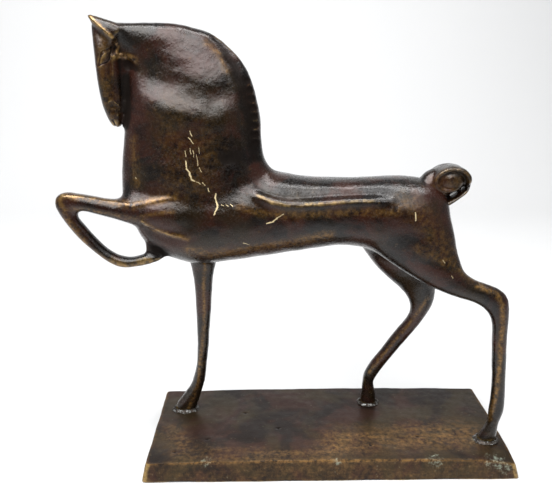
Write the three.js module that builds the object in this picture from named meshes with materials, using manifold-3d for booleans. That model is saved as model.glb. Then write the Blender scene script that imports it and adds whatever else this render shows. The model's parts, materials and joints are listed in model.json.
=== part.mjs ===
// A prancing bronze horse on a flat cast base, built as the foundry builds it: hollow trunk and
// neck castings over their cores, solid head, tail and legs on spigots, and three hooves bolted
// through the base with stud, washer and nut. Millimetres, +Z up, the head towards -X.
import * as THREE from "three";
import { mergeVertices } from "three/addons/utils/BufferGeometryUtils.js";
import Module from "manifold-3d";

const wasm = await Module();
wasm.setup();

// ---- Driving sizes ---------------------------------------------------------------------------
const HORSE_LENGTH = 299; // raised knee to the hock of the near hind leg
const HORSE_HEIGHT = 284; // soles of the hooves to the tips of the ears
const HORSE_WIDTH = 48; // widest point of the barrel

const BASE_HEIGHT = 15;
const BASE_WALL = 4.5;
const BASE_FLARE_X = 3.5; // how far the foot of each end stands out past the top edge
const BASE_FLARE_Y = 1;
const TOE_MARGIN = 10.4; // base top in front of the standing fore hoof
const HEEL_MARGIN = 6.2; // base top behind the near hind hoof
const NEAR_MARGIN = 18.3; // base top beside the near hind hoof
const FAR_MARGIN = 15.4; // base top beside the far hind hoof

const GAP = 0.3; // clearance between pieces that touch
const CASTING_WALL = 4;
const CORE_CLEARANCE = 0.4; // shrinkage gap between the fired core and the bronze

const STUD_RADIUS = 2.5;
const STUD_IN_HOOF = 8;
const STUD_TAIL = 3; // stud left showing under its nut
const WASHER_RADIUS = 5;
const WASHER_THICKNESS = 1;
const NUT_FLATS = 8;
const NUT_THICKNESS = 3;

const SPIGOT_RADIUS = 3.4;
const SPIGOT_LENGTH = 11;
const NECK_PEG_RADIUS = 2.4; // the smaller spigot that carries the head
const NECK_PEG_LENGTH = 8;
const DOCK_RADIUS = 3; // the spigot that carries the tail
const DOCK_LENGTH = 9;
const PLUG_RADIUS = 1.7;
const PLUG_REACH = 30; // the drill for a plug's hole runs this far out from the middle
const FILLET_FOOT = 2; // how far the solder runs out from a hoof
const FILLET_TOP = 0.8; // how far it still stands out where it ends on the hoof
const FILLET_HEIGHT = 1.6;
const CUT_THROUGH = 1; // how far a cutter runs out past the face it opens

// The outlines below are drawn at these sizes, and stretch with the driving sizes above.
const DRAWN_LENGTH = 299;
const DRAWN_HEIGHT = 284;
const DRAWN_WIDTH = 48;
const LONG = HORSE_LENGTH / DRAWN_LENGTH;
const TALL = HORSE_HEIGHT / DRAWN_HEIGHT;
const WIDE = HORSE_WIDTH / DRAWN_WIDTH;

// ---- Ribs: the sections that a limb or a body is lofted through -------------------------------
// A rib joins two edge points of the side view, [x, z] with z measured from the soles. y is the
// middle of the section across the body and half is its half width there.
function rib(edgeA, edgeB, y, half) {
  return {
    a: new THREE.Vector3(edgeA[0] * LONG, 0, BASE_HEIGHT + GAP + edgeA[1] * TALL),
    b: new THREE.Vector3(edgeB[0] * LONG, 0, BASE_HEIGHT + GAP + edgeB[1] * TALL),
    across: new THREE.Vector3(y * WIDE, half * WIDE, 0),
  };
}

const TRUNK_RIBS = [
  rib([-136.5, 176], [-136, 171], 0, 3),
  rib([-133, 182], [-129.5, 157], 0, 14),
  rib([-122, 185], [-122, 142], 0, 19.5),
  rib([-107, 186], [-107, 131.5], 0, 22.5),
  rib([-90, 187], [-90, 126.4], 0, 23.5),
  rib([-65, 188], [-65, 128.8], 0, 24),
  rib([-40, 188.5], [-40, 132.3], 0, 23.5),
  rib([-15, 184.6], [-15, 136.8], 0, 22.5),
  rib([10, 183.8], [9, 139], 0, 21.5),
  rib([30, 184.3], [27, 136], 0, 22.3),
  rib([50, 184.2], [45, 129], 0, 23),
  rib([64, 181.5], [62, 124], 0, 21.5),
  rib([75, 173], [75, 131], 0, 16),
  rib([80, 158], [79, 146], 0, 7),
];
const NECK_RIBS = [
  rib([-133, 160], [-36, 170], 0, 21),
  rib([-136.5, 175], [-38, 188], 0, 20.5),
  rib([-136, 185], [-43, 198], 0, 19.5),
  rib([-134.5, 197], [-44.8, 211], 0, 18.5),
  rib([-132.5, 210], [-45.8, 223], 0, 18),
  rib([-131, 220], [-47.5, 233], 0, 17.5),
  rib([-129.5, 230], [-50.5, 245], 0, 15.8),
  rib([-128, 240], [-56, 256], 0, 13.2),
  rib([-127, 249], [-64, 264.5], 0, 10.8),
  rib([-126.5, 256], [-76, 273], 0, 9.2),
  rib([-127.5, 261], [-92, 278], 0, 8.4),
  rib([-130, 265.5], [-108, 279.2], 0, 8),
  rib([-133, 270], [-124, 279], 0, 7.4),
];
const HEAD_RIBS = [
  rib([-147, 279], [-133.5, 277], 0, 5),
  rib([-146.7, 270], [-132, 264.5], 0, 8.5),
  rib([-146.2, 260], [-135.3, 258], 0, 9.5),
  rib([-146, 251], [-136, 249.5], 0, 9),
  rib([-145.4, 240], [-135, 239], 0, 8),
  rib([-144.2, 231], [-133.5, 230], 0, 7),
  rib([-142, 223.5], [-132, 223], 0, 6.2),
  rib([-139.5, 218.6], [-133, 218.6], 0, 4.6),
  rib([-137, 216.8], [-135, 216.8], 0, 2.5),
];
// A thin web of metal left between the jaw and the throat.
const THROAT_RIBS = [
  rib([-139, 268], [-121, 269], 0, 3.2),
  rib([-139, 260], [-122, 261], 0, 3.3),
  rib([-139, 250], [-122, 252], 0, 3.4),
  rib([-138, 240], [-124, 240], 0, 3.4),
  rib([-137, 230], [-125, 230], 0, 3.2),
  rib([-136, 222], [-127, 222], 0, 2.6),
];
const EAR_Y = 5.2;
const EAR_RIBS = [
  rib([-137, 264], [-126, 276], EAR_Y, 5),
  rib([-141, 271], [-131.5, 279.2], EAR_Y, 4.6),
  rib([-144.5, 277], [-138.5, 281.4], EAR_Y - 0.4, 3.3),
  rib([-147.4, 282.4], [-146.4, 283.6], EAR_Y - 1.2, 0.8),
];
const NEAR_FORELEG_RIBS = [
  rib([-78, 174], [-82, 146], -13, 8.5),
  rib([-100, 175], [-100, 148], -14.5, 10),
  rib([-118, 174.8], [-118, 153.5], -14.5, 8.6),
  rib([-138, 173.6], [-137, 159.8], -13.8, 6.6),
  rib([-150, 175], [-149, 163.2], -13.5, 5.9),
  rib([-160, 176.8], [-158, 165.6], -13.3, 5.6),
  rib([-169, 178], [-162, 165], -13.2, 5.5),
  rib([-175, 175.5], [-163.2, 163.6], -13, 5.4),
  rib([-176.8, 170.5], [-163, 161.8], -13, 5.3),
  rib([-174.6, 164.5], [-161.8, 159.6], -13, 5.1),
  rib([-169.5, 155.5], [-159.4, 156.4], -12.9, 4.9),
  rib([-162, 145.6], [-154.6, 150], -12.8, 4.8),
  rib([-153, 136.8], [-147.6, 141.6], -12.6, 4.8),
  rib([-145, 130.4], [-141.2, 136.8], -12.4, 4.8),
  rib([-138, 127.3], [-135.8, 134.7], -12.2, 4.9),
  rib([-131, 127.2], [-130.6, 134.2], -12, 4.9),
  rib([-124, 128.5], [-125.4, 135.4], -12, 4.9),
  rib([-117, 130.3], [-119.4, 136.8], -12, 4.6),
  rib([-110.5, 132.4], [-112.4, 135.8], -12, 3.2),
];
const FAR_FORELEG_RIBS = [
  rib([-102, 150], [-68, 150], 10, 11),
  rib([-99, 133], [-73, 133], 12, 9),
  rib([-96.6, 122], [-77.4, 122], 13, 6.6),
  rib([-95, 113], [-80, 113], 13.5, 5.6),
  rib([-94.2, 100], [-81.6, 100], 14.3, 5.2),
  rib([-94.2, 85], [-82.9, 85], 15.2, 5),
  rib([-94.3, 70], [-84.6, 70], 16.2, 4.8),
  rib([-94.7, 55], [-86, 55], 17, 4.6),
  rib([-96, 40], [-88, 40], 18, 4.6),
  rib([-98.8, 29], [-89.6, 28], 18.7, 4.8),
  rib([-101.5, 21.5], [-92, 19.5], 19.2, 4.7),
  rib([-107, 13.5], [-95, 9.5], 19.8, 4.8),
  rib([-113, 5], [-97.2, 3], 20.4, 5.2),
  rib([-114.6, 0], [-98, 0], 20.6, 5.4),
];
const NEAR_HIND_RIBS = [
  rib([24, 139], [75, 171], -8, 13.5),
  rib([42, 126], [80.2, 151.4], -11, 12.2),
  rib([58, 117], [83.2, 137.2], -13.6, 10.6),
  rib([72, 110.5], [87.2, 124.8], -16, 8.6),
  rib([84.5, 106], [95, 118.4], -17.5, 7),
  rib([95, 102.8], [104, 115.2], -18.6, 6),
  rib([102.6, 98], [112, 111.8], -19.5, 5.7),
  rib([107, 92], [117.4, 105.6], -20, 5.5),
  rib([108.8, 85], [118.9, 95], -20.4, 5.2),
  rib([109.4, 76], [119.2, 80], -20.8, 4.9),
  rib([110.6, 61], [120.3, 63], -21.4, 4.7),
  rib([112, 45], [121.3, 46], -22, 4.6),
  rib([112.4, 31], [122.2, 31], -22.3, 4.7),
  rib([111.8, 21], [122, 22.5], -22.6, 4.9),
  rib([112, 14], [119.6, 13.5], -22.8, 4.5),
  rib([108.4, 6.5], [119, 6], -23, 5),
  rib([105, 0], [118.8, 0], -23, 5.4),
];
const FAR_HIND_RIBS = [
  rib([18, 142], [76, 166], 8, 13.5),
  rib([29, 124], [80, 140], 12, 11.5),
  rib([43.5, 109], [80, 118], 15.5, 9),
  rib([53.5, 99.5], [79.6, 104], 18.5, 7),
  rib([60.5, 90.5], [80.2, 93.5], 20, 6),
  rib([63, 81.5], [78.5, 84], 21, 5.6),
  rib([60.6, 73.5], [71.5, 70.5], 21.7, 5.1),
  rib([52, 61.5], [61.4, 56], 22.3, 4.8),
  rib([43.2, 47.5], [52, 42.5], 23, 4.6),
  rib([35.6, 36], [45.2, 32], 23.8, 4.7),
  rib([31.4, 26.5], [41.2, 25], 24.4, 4.9),
  rib([30.6, 20], [39.2, 19.5], 25, 4.6),
  rib([30.4, 11], [41, 11], 25.6, 5),
  rib([29.5, 4], [42, 3], 26, 5.4),
  rib([29.2, 0], [42.2, 0], 26, 5.5),
];
// The rib at which each leg is cut from the trunk casting.
// The raised toe and the wedge above it are cast with the chest, and the leg is joined to them.
const TOE_SEAM = 16;
const TOE_WEDGE_RIBS = [
  rib([-121.4, 150], [-121.2, 131], -10, 3),
  rib([-117, 150], [-117, 131.6], -10, 4.6),
  rib([-111, 148], [-111, 132.6], -9.5, 4.8),
  rib([-105, 146], [-105, 135.5], -9, 4),
];

const NEAR_FORELEG_SEAM = 3;
const FAR_FORELEG_SEAM = 2;
const NEAR_HIND_SEAM = 3;
const FAR_HIND_SEAM = 2;

// ---- Solids ----------------------------------------------------------------------------------
function solidOf(positions, triangles) {
  const mesh = new wasm.Mesh({
    numProp: 3,
    vertProperties: new Float32Array(positions),
    triVerts: new Uint32Array(triangles),
  });
  mesh.merge();
  return new wasm.Manifold(mesh);
}

// Any closed three.js geometry as a solid.
function solidFrom(geometry) {
  const plain = geometry.clone();
  plain.deleteAttribute("normal");
  plain.deleteAttribute("uv");
  const merged = mergeVertices(plain, 1e-4);
  return solidOf(merged.attributes.position.array, merged.index.array);
}

function evenCurve(points) {
  return new THREE.CatmullRomCurve3(points, false, "catmullrom", 0.5);
}

// A closed loft through ribs first..last: each ring is a superellipse between the two edges.
// grow moves every wall out (or in) by that much, the two end faces included.
function loft(ribs, { first = 0, last = ribs.length - 1, sides, steps, power = 2.2, grow = 0 }) {
  const edgeA = evenCurve(ribs.map((r) => r.a));
  const edgeB = evenCurve(ribs.map((r) => r.b));
  const across = evenCurve(ribs.map((r) => r.across));
  const spans = ribs.length - 1;
  const rings = [];
  for (let i = 0; i <= steps; i++) {
    const t = (first + ((last - first) * i) / steps) / spans;
    const a = edgeA.getPoint(t);
    const b = edgeB.getPoint(t);
    const width = across.getPoint(t);
    const middle = a.clone().add(b).multiplyScalar(0.5);
    const chord = b.clone().sub(a);
    const reach = Math.max(chord.length() / 2 + grow, 0.05);
    chord.normalize();
    rings.push({ middle, chord, reach, y: width.x, half: Math.max(width.y + grow, 0.05) });
  }
  const lead = rings[0].middle.clone().sub(rings[1].middle).normalize();
  const tail = rings[steps].middle.clone().sub(rings[steps - 1].middle).normalize();
  rings[0].middle.addScaledVector(lead, grow);
  rings[steps].middle.addScaledVector(tail, grow);

  const positions = [];
  const bend = 2 / power;
  for (const ring of rings) {
    for (let k = 0; k < sides; k++) {
      const angle = (2 * Math.PI * k) / sides;
      const c = Math.cos(angle);
      const s = Math.sin(angle);
      const along = Math.sign(c) * Math.abs(c) ** bend * ring.reach;
      const side = Math.sign(s) * Math.abs(s) ** bend * ring.half;
      const p = ring.middle.clone().addScaledVector(ring.chord, along);
      positions.push(p.x, ring.y + side, p.z);
    }
  }
  const triangles = [];
  for (let i = 0; i < steps; i++) {
    for (let k = 0; k < sides; k++) {
      const p = i * sides + k;
      const q = i * sides + ((k + 1) % sides);
      triangles.push(p, q, q + sides, p, q + sides, p + sides);
    }
  }
  for (const [ring, turn] of [[0, false], [steps, true]]) {
    const hub = positions.length / 3;
    positions.push(rings[ring].middle.x, rings[ring].y, rings[ring].middle.z);
    for (let k = 0; k < sides; k++) {
      const p = ring * sides + k;
      const q = ring * sides + ((k + 1) % sides);
      triangles.push(hub, turn ? p : q, turn ? q : p);
    }
  }
  const solid = solidOf(positions, triangles);
  if (solid.volume() > 0) return solid;
  return solidOf(positions, triangles.slice().reverse());
}

// A round bar from one point to another.
function rod(from, to, radius, sides = 12) {
  const axis = to.clone().sub(from);
  const bar = new THREE.CylinderGeometry(radius, radius, axis.length(), sides);
  const turn = new THREE.Quaternion();
  turn.setFromUnitVectors(new THREE.Vector3(0, 1, 0), axis.clone().normalize());
  bar.applyQuaternion(turn);
  bar.translate((from.x + to.x) / 2, (from.y + to.y) / 2, (from.z + to.z) / 2);
  return solidFrom(bar);
}

// The main body of a cut piece, without the slivers that the cut leaves beside it.
function mainBody(solid) {
  return solid.decompose().reduce((best, body) => (body.volume() > best.volume() ? body : best));
}

function middleOf(r) {
  const middle = r.a.clone().add(r.b).multiplyScalar(0.5);
  middle.y = r.across.x;
  return middle;
}

// The seam of a leg: its middle, and the direction that runs up into the trunk.
function seamOf(ribs, index) {
  const centre = middleOf(ribs[index]);
  const up = middleOf(ribs[index - 1]).sub(centre).normalize();
  return { centre, up };
}

function spigot(seam, radius, length, root = 4) {
  const from = seam.centre.clone().addScaledVector(seam.up, -root);
  const to = seam.centre.clone().addScaledVector(seam.up, length);
  return rod(from, to, radius);
}

// ---- Trunk, neck and their cores ---------------------------------------------------------------
const TRUNK_LOFT = { sides: 28, steps: 30 };
const NECK_LOFT = { sides: 28, steps: 20 };
const LEG_SIDES = 12;

const LEGS = {
  near_foreleg: {
    ribs: NEAR_FORELEG_RIBS, seam: NEAR_FORELEG_SEAM, last: TOE_SEAM, steps: 26, stub: 4,
  },
  far_foreleg: { ribs: FAR_FORELEG_RIBS, seam: FAR_FORELEG_SEAM, steps: 20, stub: 3 },
  near_hind_leg: { ribs: NEAR_HIND_RIBS, seam: NEAR_HIND_SEAM, steps: 26, stub: 4 },
  far_hind_leg: { ribs: FAR_HIND_RIBS, seam: FAR_HIND_SEAM, steps: 24, stub: 3 },
};

function stub(leg, grow = 0) {
  return loft(leg.ribs, { last: leg.seam, sides: 16, steps: leg.stub, grow });
}

function trunkOutside(grow = 0) {
  let body = loft(TRUNK_RIBS, { ...TRUNK_LOFT, grow });
  for (const leg of Object.values(LEGS)) body = body.add(stub(leg, grow));
  const toe = loft(NEAR_FORELEG_RIBS, { first: TOE_SEAM, sides: LEG_SIDES, steps: 4, grow });
  return body.add(toe).add(loft(TOE_WEDGE_RIBS, { sides: LEG_SIDES, steps: 6, grow }));
}

// The hollow keeps clear of the solid haunches and of the chest's point.
const HOLLOW = { first: 1.4, last: 10.6, sides: 16, steps: 12 };
const NECK_HOLLOW = { first: 0, last: 10, sides: 16, steps: 10 };

function trunkHollow(inset) {
  return loft(TRUNK_RIBS, { ...HOLLOW, grow: -inset });
}

function neckHollow(inset) {
  return loft(NECK_RIBS, { ...NECK_HOLLOW, grow: -inset });
}

const trunkSkin = trunkOutside();
const trunkReach = trunkOutside(GAP);
const neckSkin = loft(NECK_RIBS, NECK_LOFT);
const neckReach = loft(NECK_RIBS, { ...NECK_LOFT, grow: GAP });

let trunk = trunkSkin.subtract(trunkHollow(CASTING_WALL)).subtract(neckHollow(CASTING_WALL));
let neck = neckSkin.subtract(neckHollow(CASTING_WALL)).subtract(trunkReach);
const coreInset = CASTING_WALL + CORE_CLEARANCE;
let neckCore = neckHollow(coreInset).subtract(trunkHollow(CASTING_WALL));
let trunkCore = trunkHollow(coreInset);

// ---- Legs ------------------------------------------------------------------------------------
const solids = {};

for (const [name, leg] of Object.entries(LEGS)) {
  const seam = seamOf(leg.ribs, leg.seam);
  const limb = loft(leg.ribs, {
    first: leg.seam, last: leg.last, sides: LEG_SIDES, steps: leg.steps,
  });
  const peg = spigot(seam, SPIGOT_RADIUS, SPIGOT_LENGTH);
  solids[name] = limb.subtract(trunkReach).add(peg);
  const socket = spigot(seam, SPIGOT_RADIUS + GAP, SPIGOT_LENGTH + GAP);
  trunk = trunk.subtract(socket);
  trunkCore = trunkCore.subtract(socket);
}

// ---- Head ------------------------------------------------------------------------------------
const HEAD_LOFT = { sides: 16, steps: 16 };
const NECK_END = NECK_RIBS.length - 1;

function ear(side) {
  const ribs = EAR_RIBS.map((r) => ({ ...r, across: r.across.clone().setX(side * r.across.x) }));
  return loft(ribs, { sides: 10, steps: 6 });
}

const poll = seamOf(NECK_RIBS, NECK_END);
const web = loft(THROAT_RIBS, { sides: 10, steps: 6 });
let head = loft(HEAD_RIBS, HEAD_LOFT).add(web).add(ear(-1)).add(ear(1)).subtract(neckReach);
head = head.add(spigot(poll, NECK_PEG_RADIUS, NECK_PEG_LENGTH));
const pollSocket = spigot(poll, NECK_PEG_RADIUS + GAP, NECK_PEG_LENGTH + GAP);
neck = neck.subtract(pollSocket);
neckCore = neckCore.subtract(pollSocket);
solids.head = head;

// ---- Tail: a flattened ball carried on a short dock --------------------------------------------
const TAIL_CENTRE = new THREE.Vector3(77 * LONG, 0, BASE_HEIGHT + GAP + 181.2 * TALL);
const TAIL_HALF = new THREE.Vector3(14.5, 11, 11.8);
const TAIL_ROOT = new THREE.Vector3(64 * LONG, 0, BASE_HEIGHT + GAP + 166 * TALL);

const ball = new THREE.SphereGeometry(1, 20, 12);
ball.scale(TAIL_HALF.x, TAIL_HALF.y, TAIL_HALF.z);
ball.translate(TAIL_CENTRE.x, TAIL_CENTRE.y, TAIL_CENTRE.z);
const towardsRoot = TAIL_ROOT.clone().sub(TAIL_CENTRE).normalize();
const dockEnd = TAIL_CENTRE.clone().addScaledVector(towardsRoot, TAIL_HALF.z + DOCK_LENGTH);
const dock = rod(TAIL_CENTRE, dockEnd, DOCK_RADIUS);
const socketEnd = dockEnd.clone().addScaledVector(towardsRoot, GAP);
solids.tail_knot = solidFrom(ball).subtract(trunkReach).add(dock);
const dockSocket = rod(TAIL_CENTRE, socketEnd, DOCK_RADIUS + GAP);
trunk = trunk.subtract(dockSocket);
trunkCore = trunkCore.subtract(dockSocket);

// ---- Core-pin plugs: filled holes through both sides of the trunk and of the neck ---------------
const PLUGS = {
  back_plug: { x: -20.7, z: 174.6, wall: trunkSkin.subtract(trunkHollow(CASTING_WALL)) },
  neck_plug: { x: -65, z: 198, wall: neckSkin.subtract(neckHollow(CASTING_WALL)) },
};

for (const [name, plug] of Object.entries(PLUGS)) {
  for (const [label, side] of [["near", -1], ["far", 1]]) {
    const x = plug.x * LONG;
    const z = BASE_HEIGHT + GAP + plug.z * TALL;
    const inside = new THREE.Vector3(x, 0, z);
    const outside = new THREE.Vector3(x, side * PLUG_REACH * WIDE, z);
    const hole = rod(inside, outside, PLUG_RADIUS + GAP);
    solids[label + "_" + name] = rod(inside, outside, PLUG_RADIUS).intersect(plug.wall);
    trunk = trunk.subtract(hole);
    neck = neck.subtract(hole);
  }
}

solids.trunk_casting = trunk;
solids.neck_casting = neck;
solids.trunk_core = trunkCore;
solids.neck_core = neckCore;

// ---- Base --------------------------------------------------------------------------------------
// A slab whose foot is larger than its top all round, with its top at z = top.
function taperedSlab(x0, x1, y0, y1, bottom, top, flareX, flareY) {
  const slab = new THREE.BoxGeometry(x1 - x0, y1 - y0, top - bottom);
  slab.translate((x0 + x1) / 2, (y0 + y1) / 2, (bottom + top) / 2);
  const p = slab.attributes.position;
  for (let i = 0; i < p.count; i++) {
    if (p.getZ(i) > (bottom + top) / 2) continue;
    p.setX(i, p.getX(i) + Math.sign(p.getX(i) - (x0 + x1) / 2) * flareX);
    p.setY(i, p.getY(i) + Math.sign(p.getY(i) - (y0 + y1) / 2) * flareY);
  }
  return solidFrom(slab);
}

function soleOf(name) {
  const ribs = LEGS[name].ribs;
  return ribs[ribs.length - 1];
}

const foreSole = soleOf("far_foreleg");
const nearSole = soleOf("near_hind_leg");
const farSole = soleOf("far_hind_leg");
const baseX0 = foreSole.a.x - TOE_MARGIN;
const baseX1 = nearSole.b.x + HEEL_MARGIN;
const baseY0 = nearSole.across.x - nearSole.across.y - NEAR_MARGIN;
const baseY1 = farSole.across.x + farSole.across.y + FAR_MARGIN;
const ceiling = BASE_HEIGHT - BASE_WALL;
const block = taperedSlab(
  baseX0, baseX1, baseY0, baseY1, 0, BASE_HEIGHT, BASE_FLARE_X, BASE_FLARE_Y,
);
const cavity = taperedSlab(
  baseX0 + BASE_WALL, baseX1 - BASE_WALL, baseY0 + BASE_WALL, baseY1 - BASE_WALL,
  -CUT_THROUGH, ceiling, BASE_FLARE_X, BASE_FLARE_Y,
);
let base = block.subtract(cavity);

// ---- Hoof fixings ------------------------------------------------------------------------------
const washerTop = ceiling - GAP;
const nutTop = washerTop - WASHER_THICKNESS - GAP;
const studBottom = nutTop - NUT_THICKNESS - STUD_TAIL;

function upright(x, y, bottom, top, radius, sides) {
  return rod(new THREE.Vector3(x, y, bottom), new THREE.Vector3(x, y, top), radius, sides);
}

// The solder run round a sole: a low skirt that follows the hoof's own section.
function solderFillet(name) {
  const sole = soleOf(name);
  const foot = BASE_HEIGHT + GAP;
  const skirt = [0, 1].map((step) => {
    const spread = step ? FILLET_TOP : GAP + FILLET_FOOT;
    const run = sole.b.clone().sub(sole.a).normalize().multiplyScalar(spread);
    const rise = foot + step * FILLET_HEIGHT;
    return {
      a: sole.a.clone().sub(run).setZ(rise),
      b: sole.b.clone().add(run).setZ(rise),
      across: new THREE.Vector3(sole.across.x, sole.across.y + spread, 0),
    };
  });
  const clear = loft(LEGS[name].ribs, {
    first: LEGS[name].seam, sides: LEG_SIDES, steps: LEGS[name].steps, grow: GAP,
  });
  return loft(skirt, { sides: 16, steps: 1 }).subtract(clear);
}

for (const name of ["far_foreleg", "near_hind_leg", "far_hind_leg"]) {
  const { x, y } = middleOf(soleOf(name));
  const soleZ = BASE_HEIGHT + GAP;
  const bore = STUD_RADIUS + GAP;
  const stud = upright(x, y, studBottom, soleZ + STUD_IN_HOOF, STUD_RADIUS);
  const washerHole = upright(x, y, 0, BASE_HEIGHT, bore);
  const washer = upright(x, y, washerTop - WASHER_THICKNESS, washerTop, WASHER_RADIUS, 16);
  const nutRadius = NUT_FLATS / Math.sqrt(3);
  const nut = upright(x, y, nutTop - NUT_THICKNESS, nutTop, nutRadius, 6);
  const place = name.replace("_leg", "").replace("foreleg", "fore");
  solids[name] = solids[name].subtract(
    upright(x, y, soleZ - CUT_THROUGH, soleZ + STUD_IN_HOOF + GAP, bore),
  );
  base = base.subtract(upright(x, y, ceiling - CUT_THROUGH, BASE_HEIGHT + CUT_THROUGH, bore));
  solids[place + "_stud"] = stud;
  solids[place + "_washer"] = washer.subtract(washerHole);
  solids[place + "_nut"] = nut.subtract(washerHole);
  solids[place + "_solder"] = solderFillet(name);
}
solids.base_plate = base;

// ---- Materials and the finished group ------------------------------------------------------------
const FINISHES = {
  bronze: { color: 0x4a3626, roughness: 0.42, metalness: 0.9 },
  base: { color: 0x523a2a, roughness: 0.5, metalness: 0.85 },
  steel: { color: 0x8b8d8e, roughness: 0.45, metalness: 0.95 },
  solder: { color: 0x9a9d97, roughness: 0.55, metalness: 0.8 },
  core: { color: 0xb9a78c, roughness: 0.95, metalness: 0 },
};

function finishOf(name) {
  if (name.endsWith("_core")) return FINISHES.core;
  if (name.endsWith("_solder")) return FINISHES.solder;
  if (/_(stud|washer|nut)$/.test(name)) return FINISHES.steel;
  if (name === "base_plate") return FINISHES.base;
  return FINISHES.bronze;
}

const statue = new THREE.Group();
for (const [name, solid] of Object.entries(solids)) {
  const { numProp, vertProperties, triVerts } = mainBody(solid).getMesh();
  const geometry = new THREE.BufferGeometry();
  const corners = new THREE.InterleavedBuffer(vertProperties, numProp);
  geometry.setAttribute("position", new THREE.InterleavedBufferAttribute(corners, 3, 0));
  geometry.setIndex(new THREE.BufferAttribute(triVerts, 1));
  const mesh = new THREE.Mesh(geometry, new THREE.MeshStandardMaterial(finishOf(name)));
  mesh.name = name;
  statue.add(mesh);
}

// The origin lies on the resting plane, under the middle of the whole statue.
const extent = new THREE.Box3().setFromObject(statue);
statue.position.set(-(extent.min.x + extent.max.x) / 2, -(extent.min.y + extent.max.y) / 2, 0);

export default statue;
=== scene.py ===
# %% [markdown]
# # A prancing bronze horse
#
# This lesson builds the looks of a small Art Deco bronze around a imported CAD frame. The real
# thing is cast in pieces (trunk, neck, head, four legs, tail), which the founder pins, brazes
# and chases until no seam shows. We work in the same order: limbs as lofted surfaces, one
# skin fused over them, the chaser's details pressed into that skin, and cuts along the seams.

# %% Load the frame
import json
from contextlib import contextmanager

import bmesh
import bpy
import numpy as np
from mathutils import Euler, Matrix, Vector

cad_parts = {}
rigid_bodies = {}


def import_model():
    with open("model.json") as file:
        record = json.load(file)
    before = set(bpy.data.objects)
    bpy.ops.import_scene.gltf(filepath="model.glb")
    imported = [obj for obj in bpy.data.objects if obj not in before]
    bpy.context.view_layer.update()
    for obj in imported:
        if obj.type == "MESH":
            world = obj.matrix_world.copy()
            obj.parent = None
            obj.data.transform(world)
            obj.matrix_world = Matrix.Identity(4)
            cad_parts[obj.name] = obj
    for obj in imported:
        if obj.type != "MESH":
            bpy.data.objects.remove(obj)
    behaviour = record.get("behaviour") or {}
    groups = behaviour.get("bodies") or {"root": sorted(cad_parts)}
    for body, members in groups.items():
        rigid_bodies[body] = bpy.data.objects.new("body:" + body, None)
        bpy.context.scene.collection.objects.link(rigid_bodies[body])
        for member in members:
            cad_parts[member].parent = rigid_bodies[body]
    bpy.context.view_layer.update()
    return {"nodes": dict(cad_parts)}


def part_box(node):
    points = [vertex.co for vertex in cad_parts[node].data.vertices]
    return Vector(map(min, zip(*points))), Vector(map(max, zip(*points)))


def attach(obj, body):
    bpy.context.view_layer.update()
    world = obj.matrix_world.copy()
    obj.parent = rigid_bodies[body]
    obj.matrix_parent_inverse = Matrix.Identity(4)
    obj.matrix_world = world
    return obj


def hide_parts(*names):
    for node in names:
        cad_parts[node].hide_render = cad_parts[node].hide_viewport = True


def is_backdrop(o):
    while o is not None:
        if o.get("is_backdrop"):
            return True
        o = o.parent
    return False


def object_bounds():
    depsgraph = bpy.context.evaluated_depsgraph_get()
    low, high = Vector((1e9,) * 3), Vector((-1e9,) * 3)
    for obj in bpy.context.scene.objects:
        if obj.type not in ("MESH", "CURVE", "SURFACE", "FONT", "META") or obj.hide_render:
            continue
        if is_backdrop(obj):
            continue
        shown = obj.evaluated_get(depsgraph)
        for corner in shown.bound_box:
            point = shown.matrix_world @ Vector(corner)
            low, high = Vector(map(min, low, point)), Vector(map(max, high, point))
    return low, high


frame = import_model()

MM = 0.001

# %% [markdown]
# ## One frame for every piece
#
# The horse is drawn in millimetres: x runs from the head to the tail with 0 over the middle
# of the base, y across the body with 0 on the horse's middle plane, and z up from the soles.
# `place` moves such points into the frame's metres, with the three offsets read from the
# CAD's own boxes, so the drawing lands exactly where the castings are.

# %% From the drawing to the frame
base_low, base_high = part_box("base_plate")
head_low, head_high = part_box("head")
hoof_low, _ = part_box("far_foreleg")
ORIGIN = np.array([
    (base_low.x + base_high.x) / 2,
    (head_low.y + head_high.y) / 2,
    hoof_low.z,
])


def place(points):
    """Drawing millimetres to frame metres: scale by a thousandth, then shift by ORIGIN."""
    return np.asarray(points, float) * MM + ORIGIN


def drawn(points):
    """Frame metres back to drawing millimetres, the reverse of place."""
    return (np.asarray(points, float) - ORIGIN) / MM


print("drawing origin in the frame, mm:", np.round(ORIGIN / MM, 2))

# %% [markdown]
# ## Ribs
#
# A limb or a body is easiest to draw as ribs: each row gives the two edge points of a
# section in the side view (x, z and x, z), the middle of the section across the body, and
# its half width there. A smooth curve through each column fills in what lies between ribs.

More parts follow.
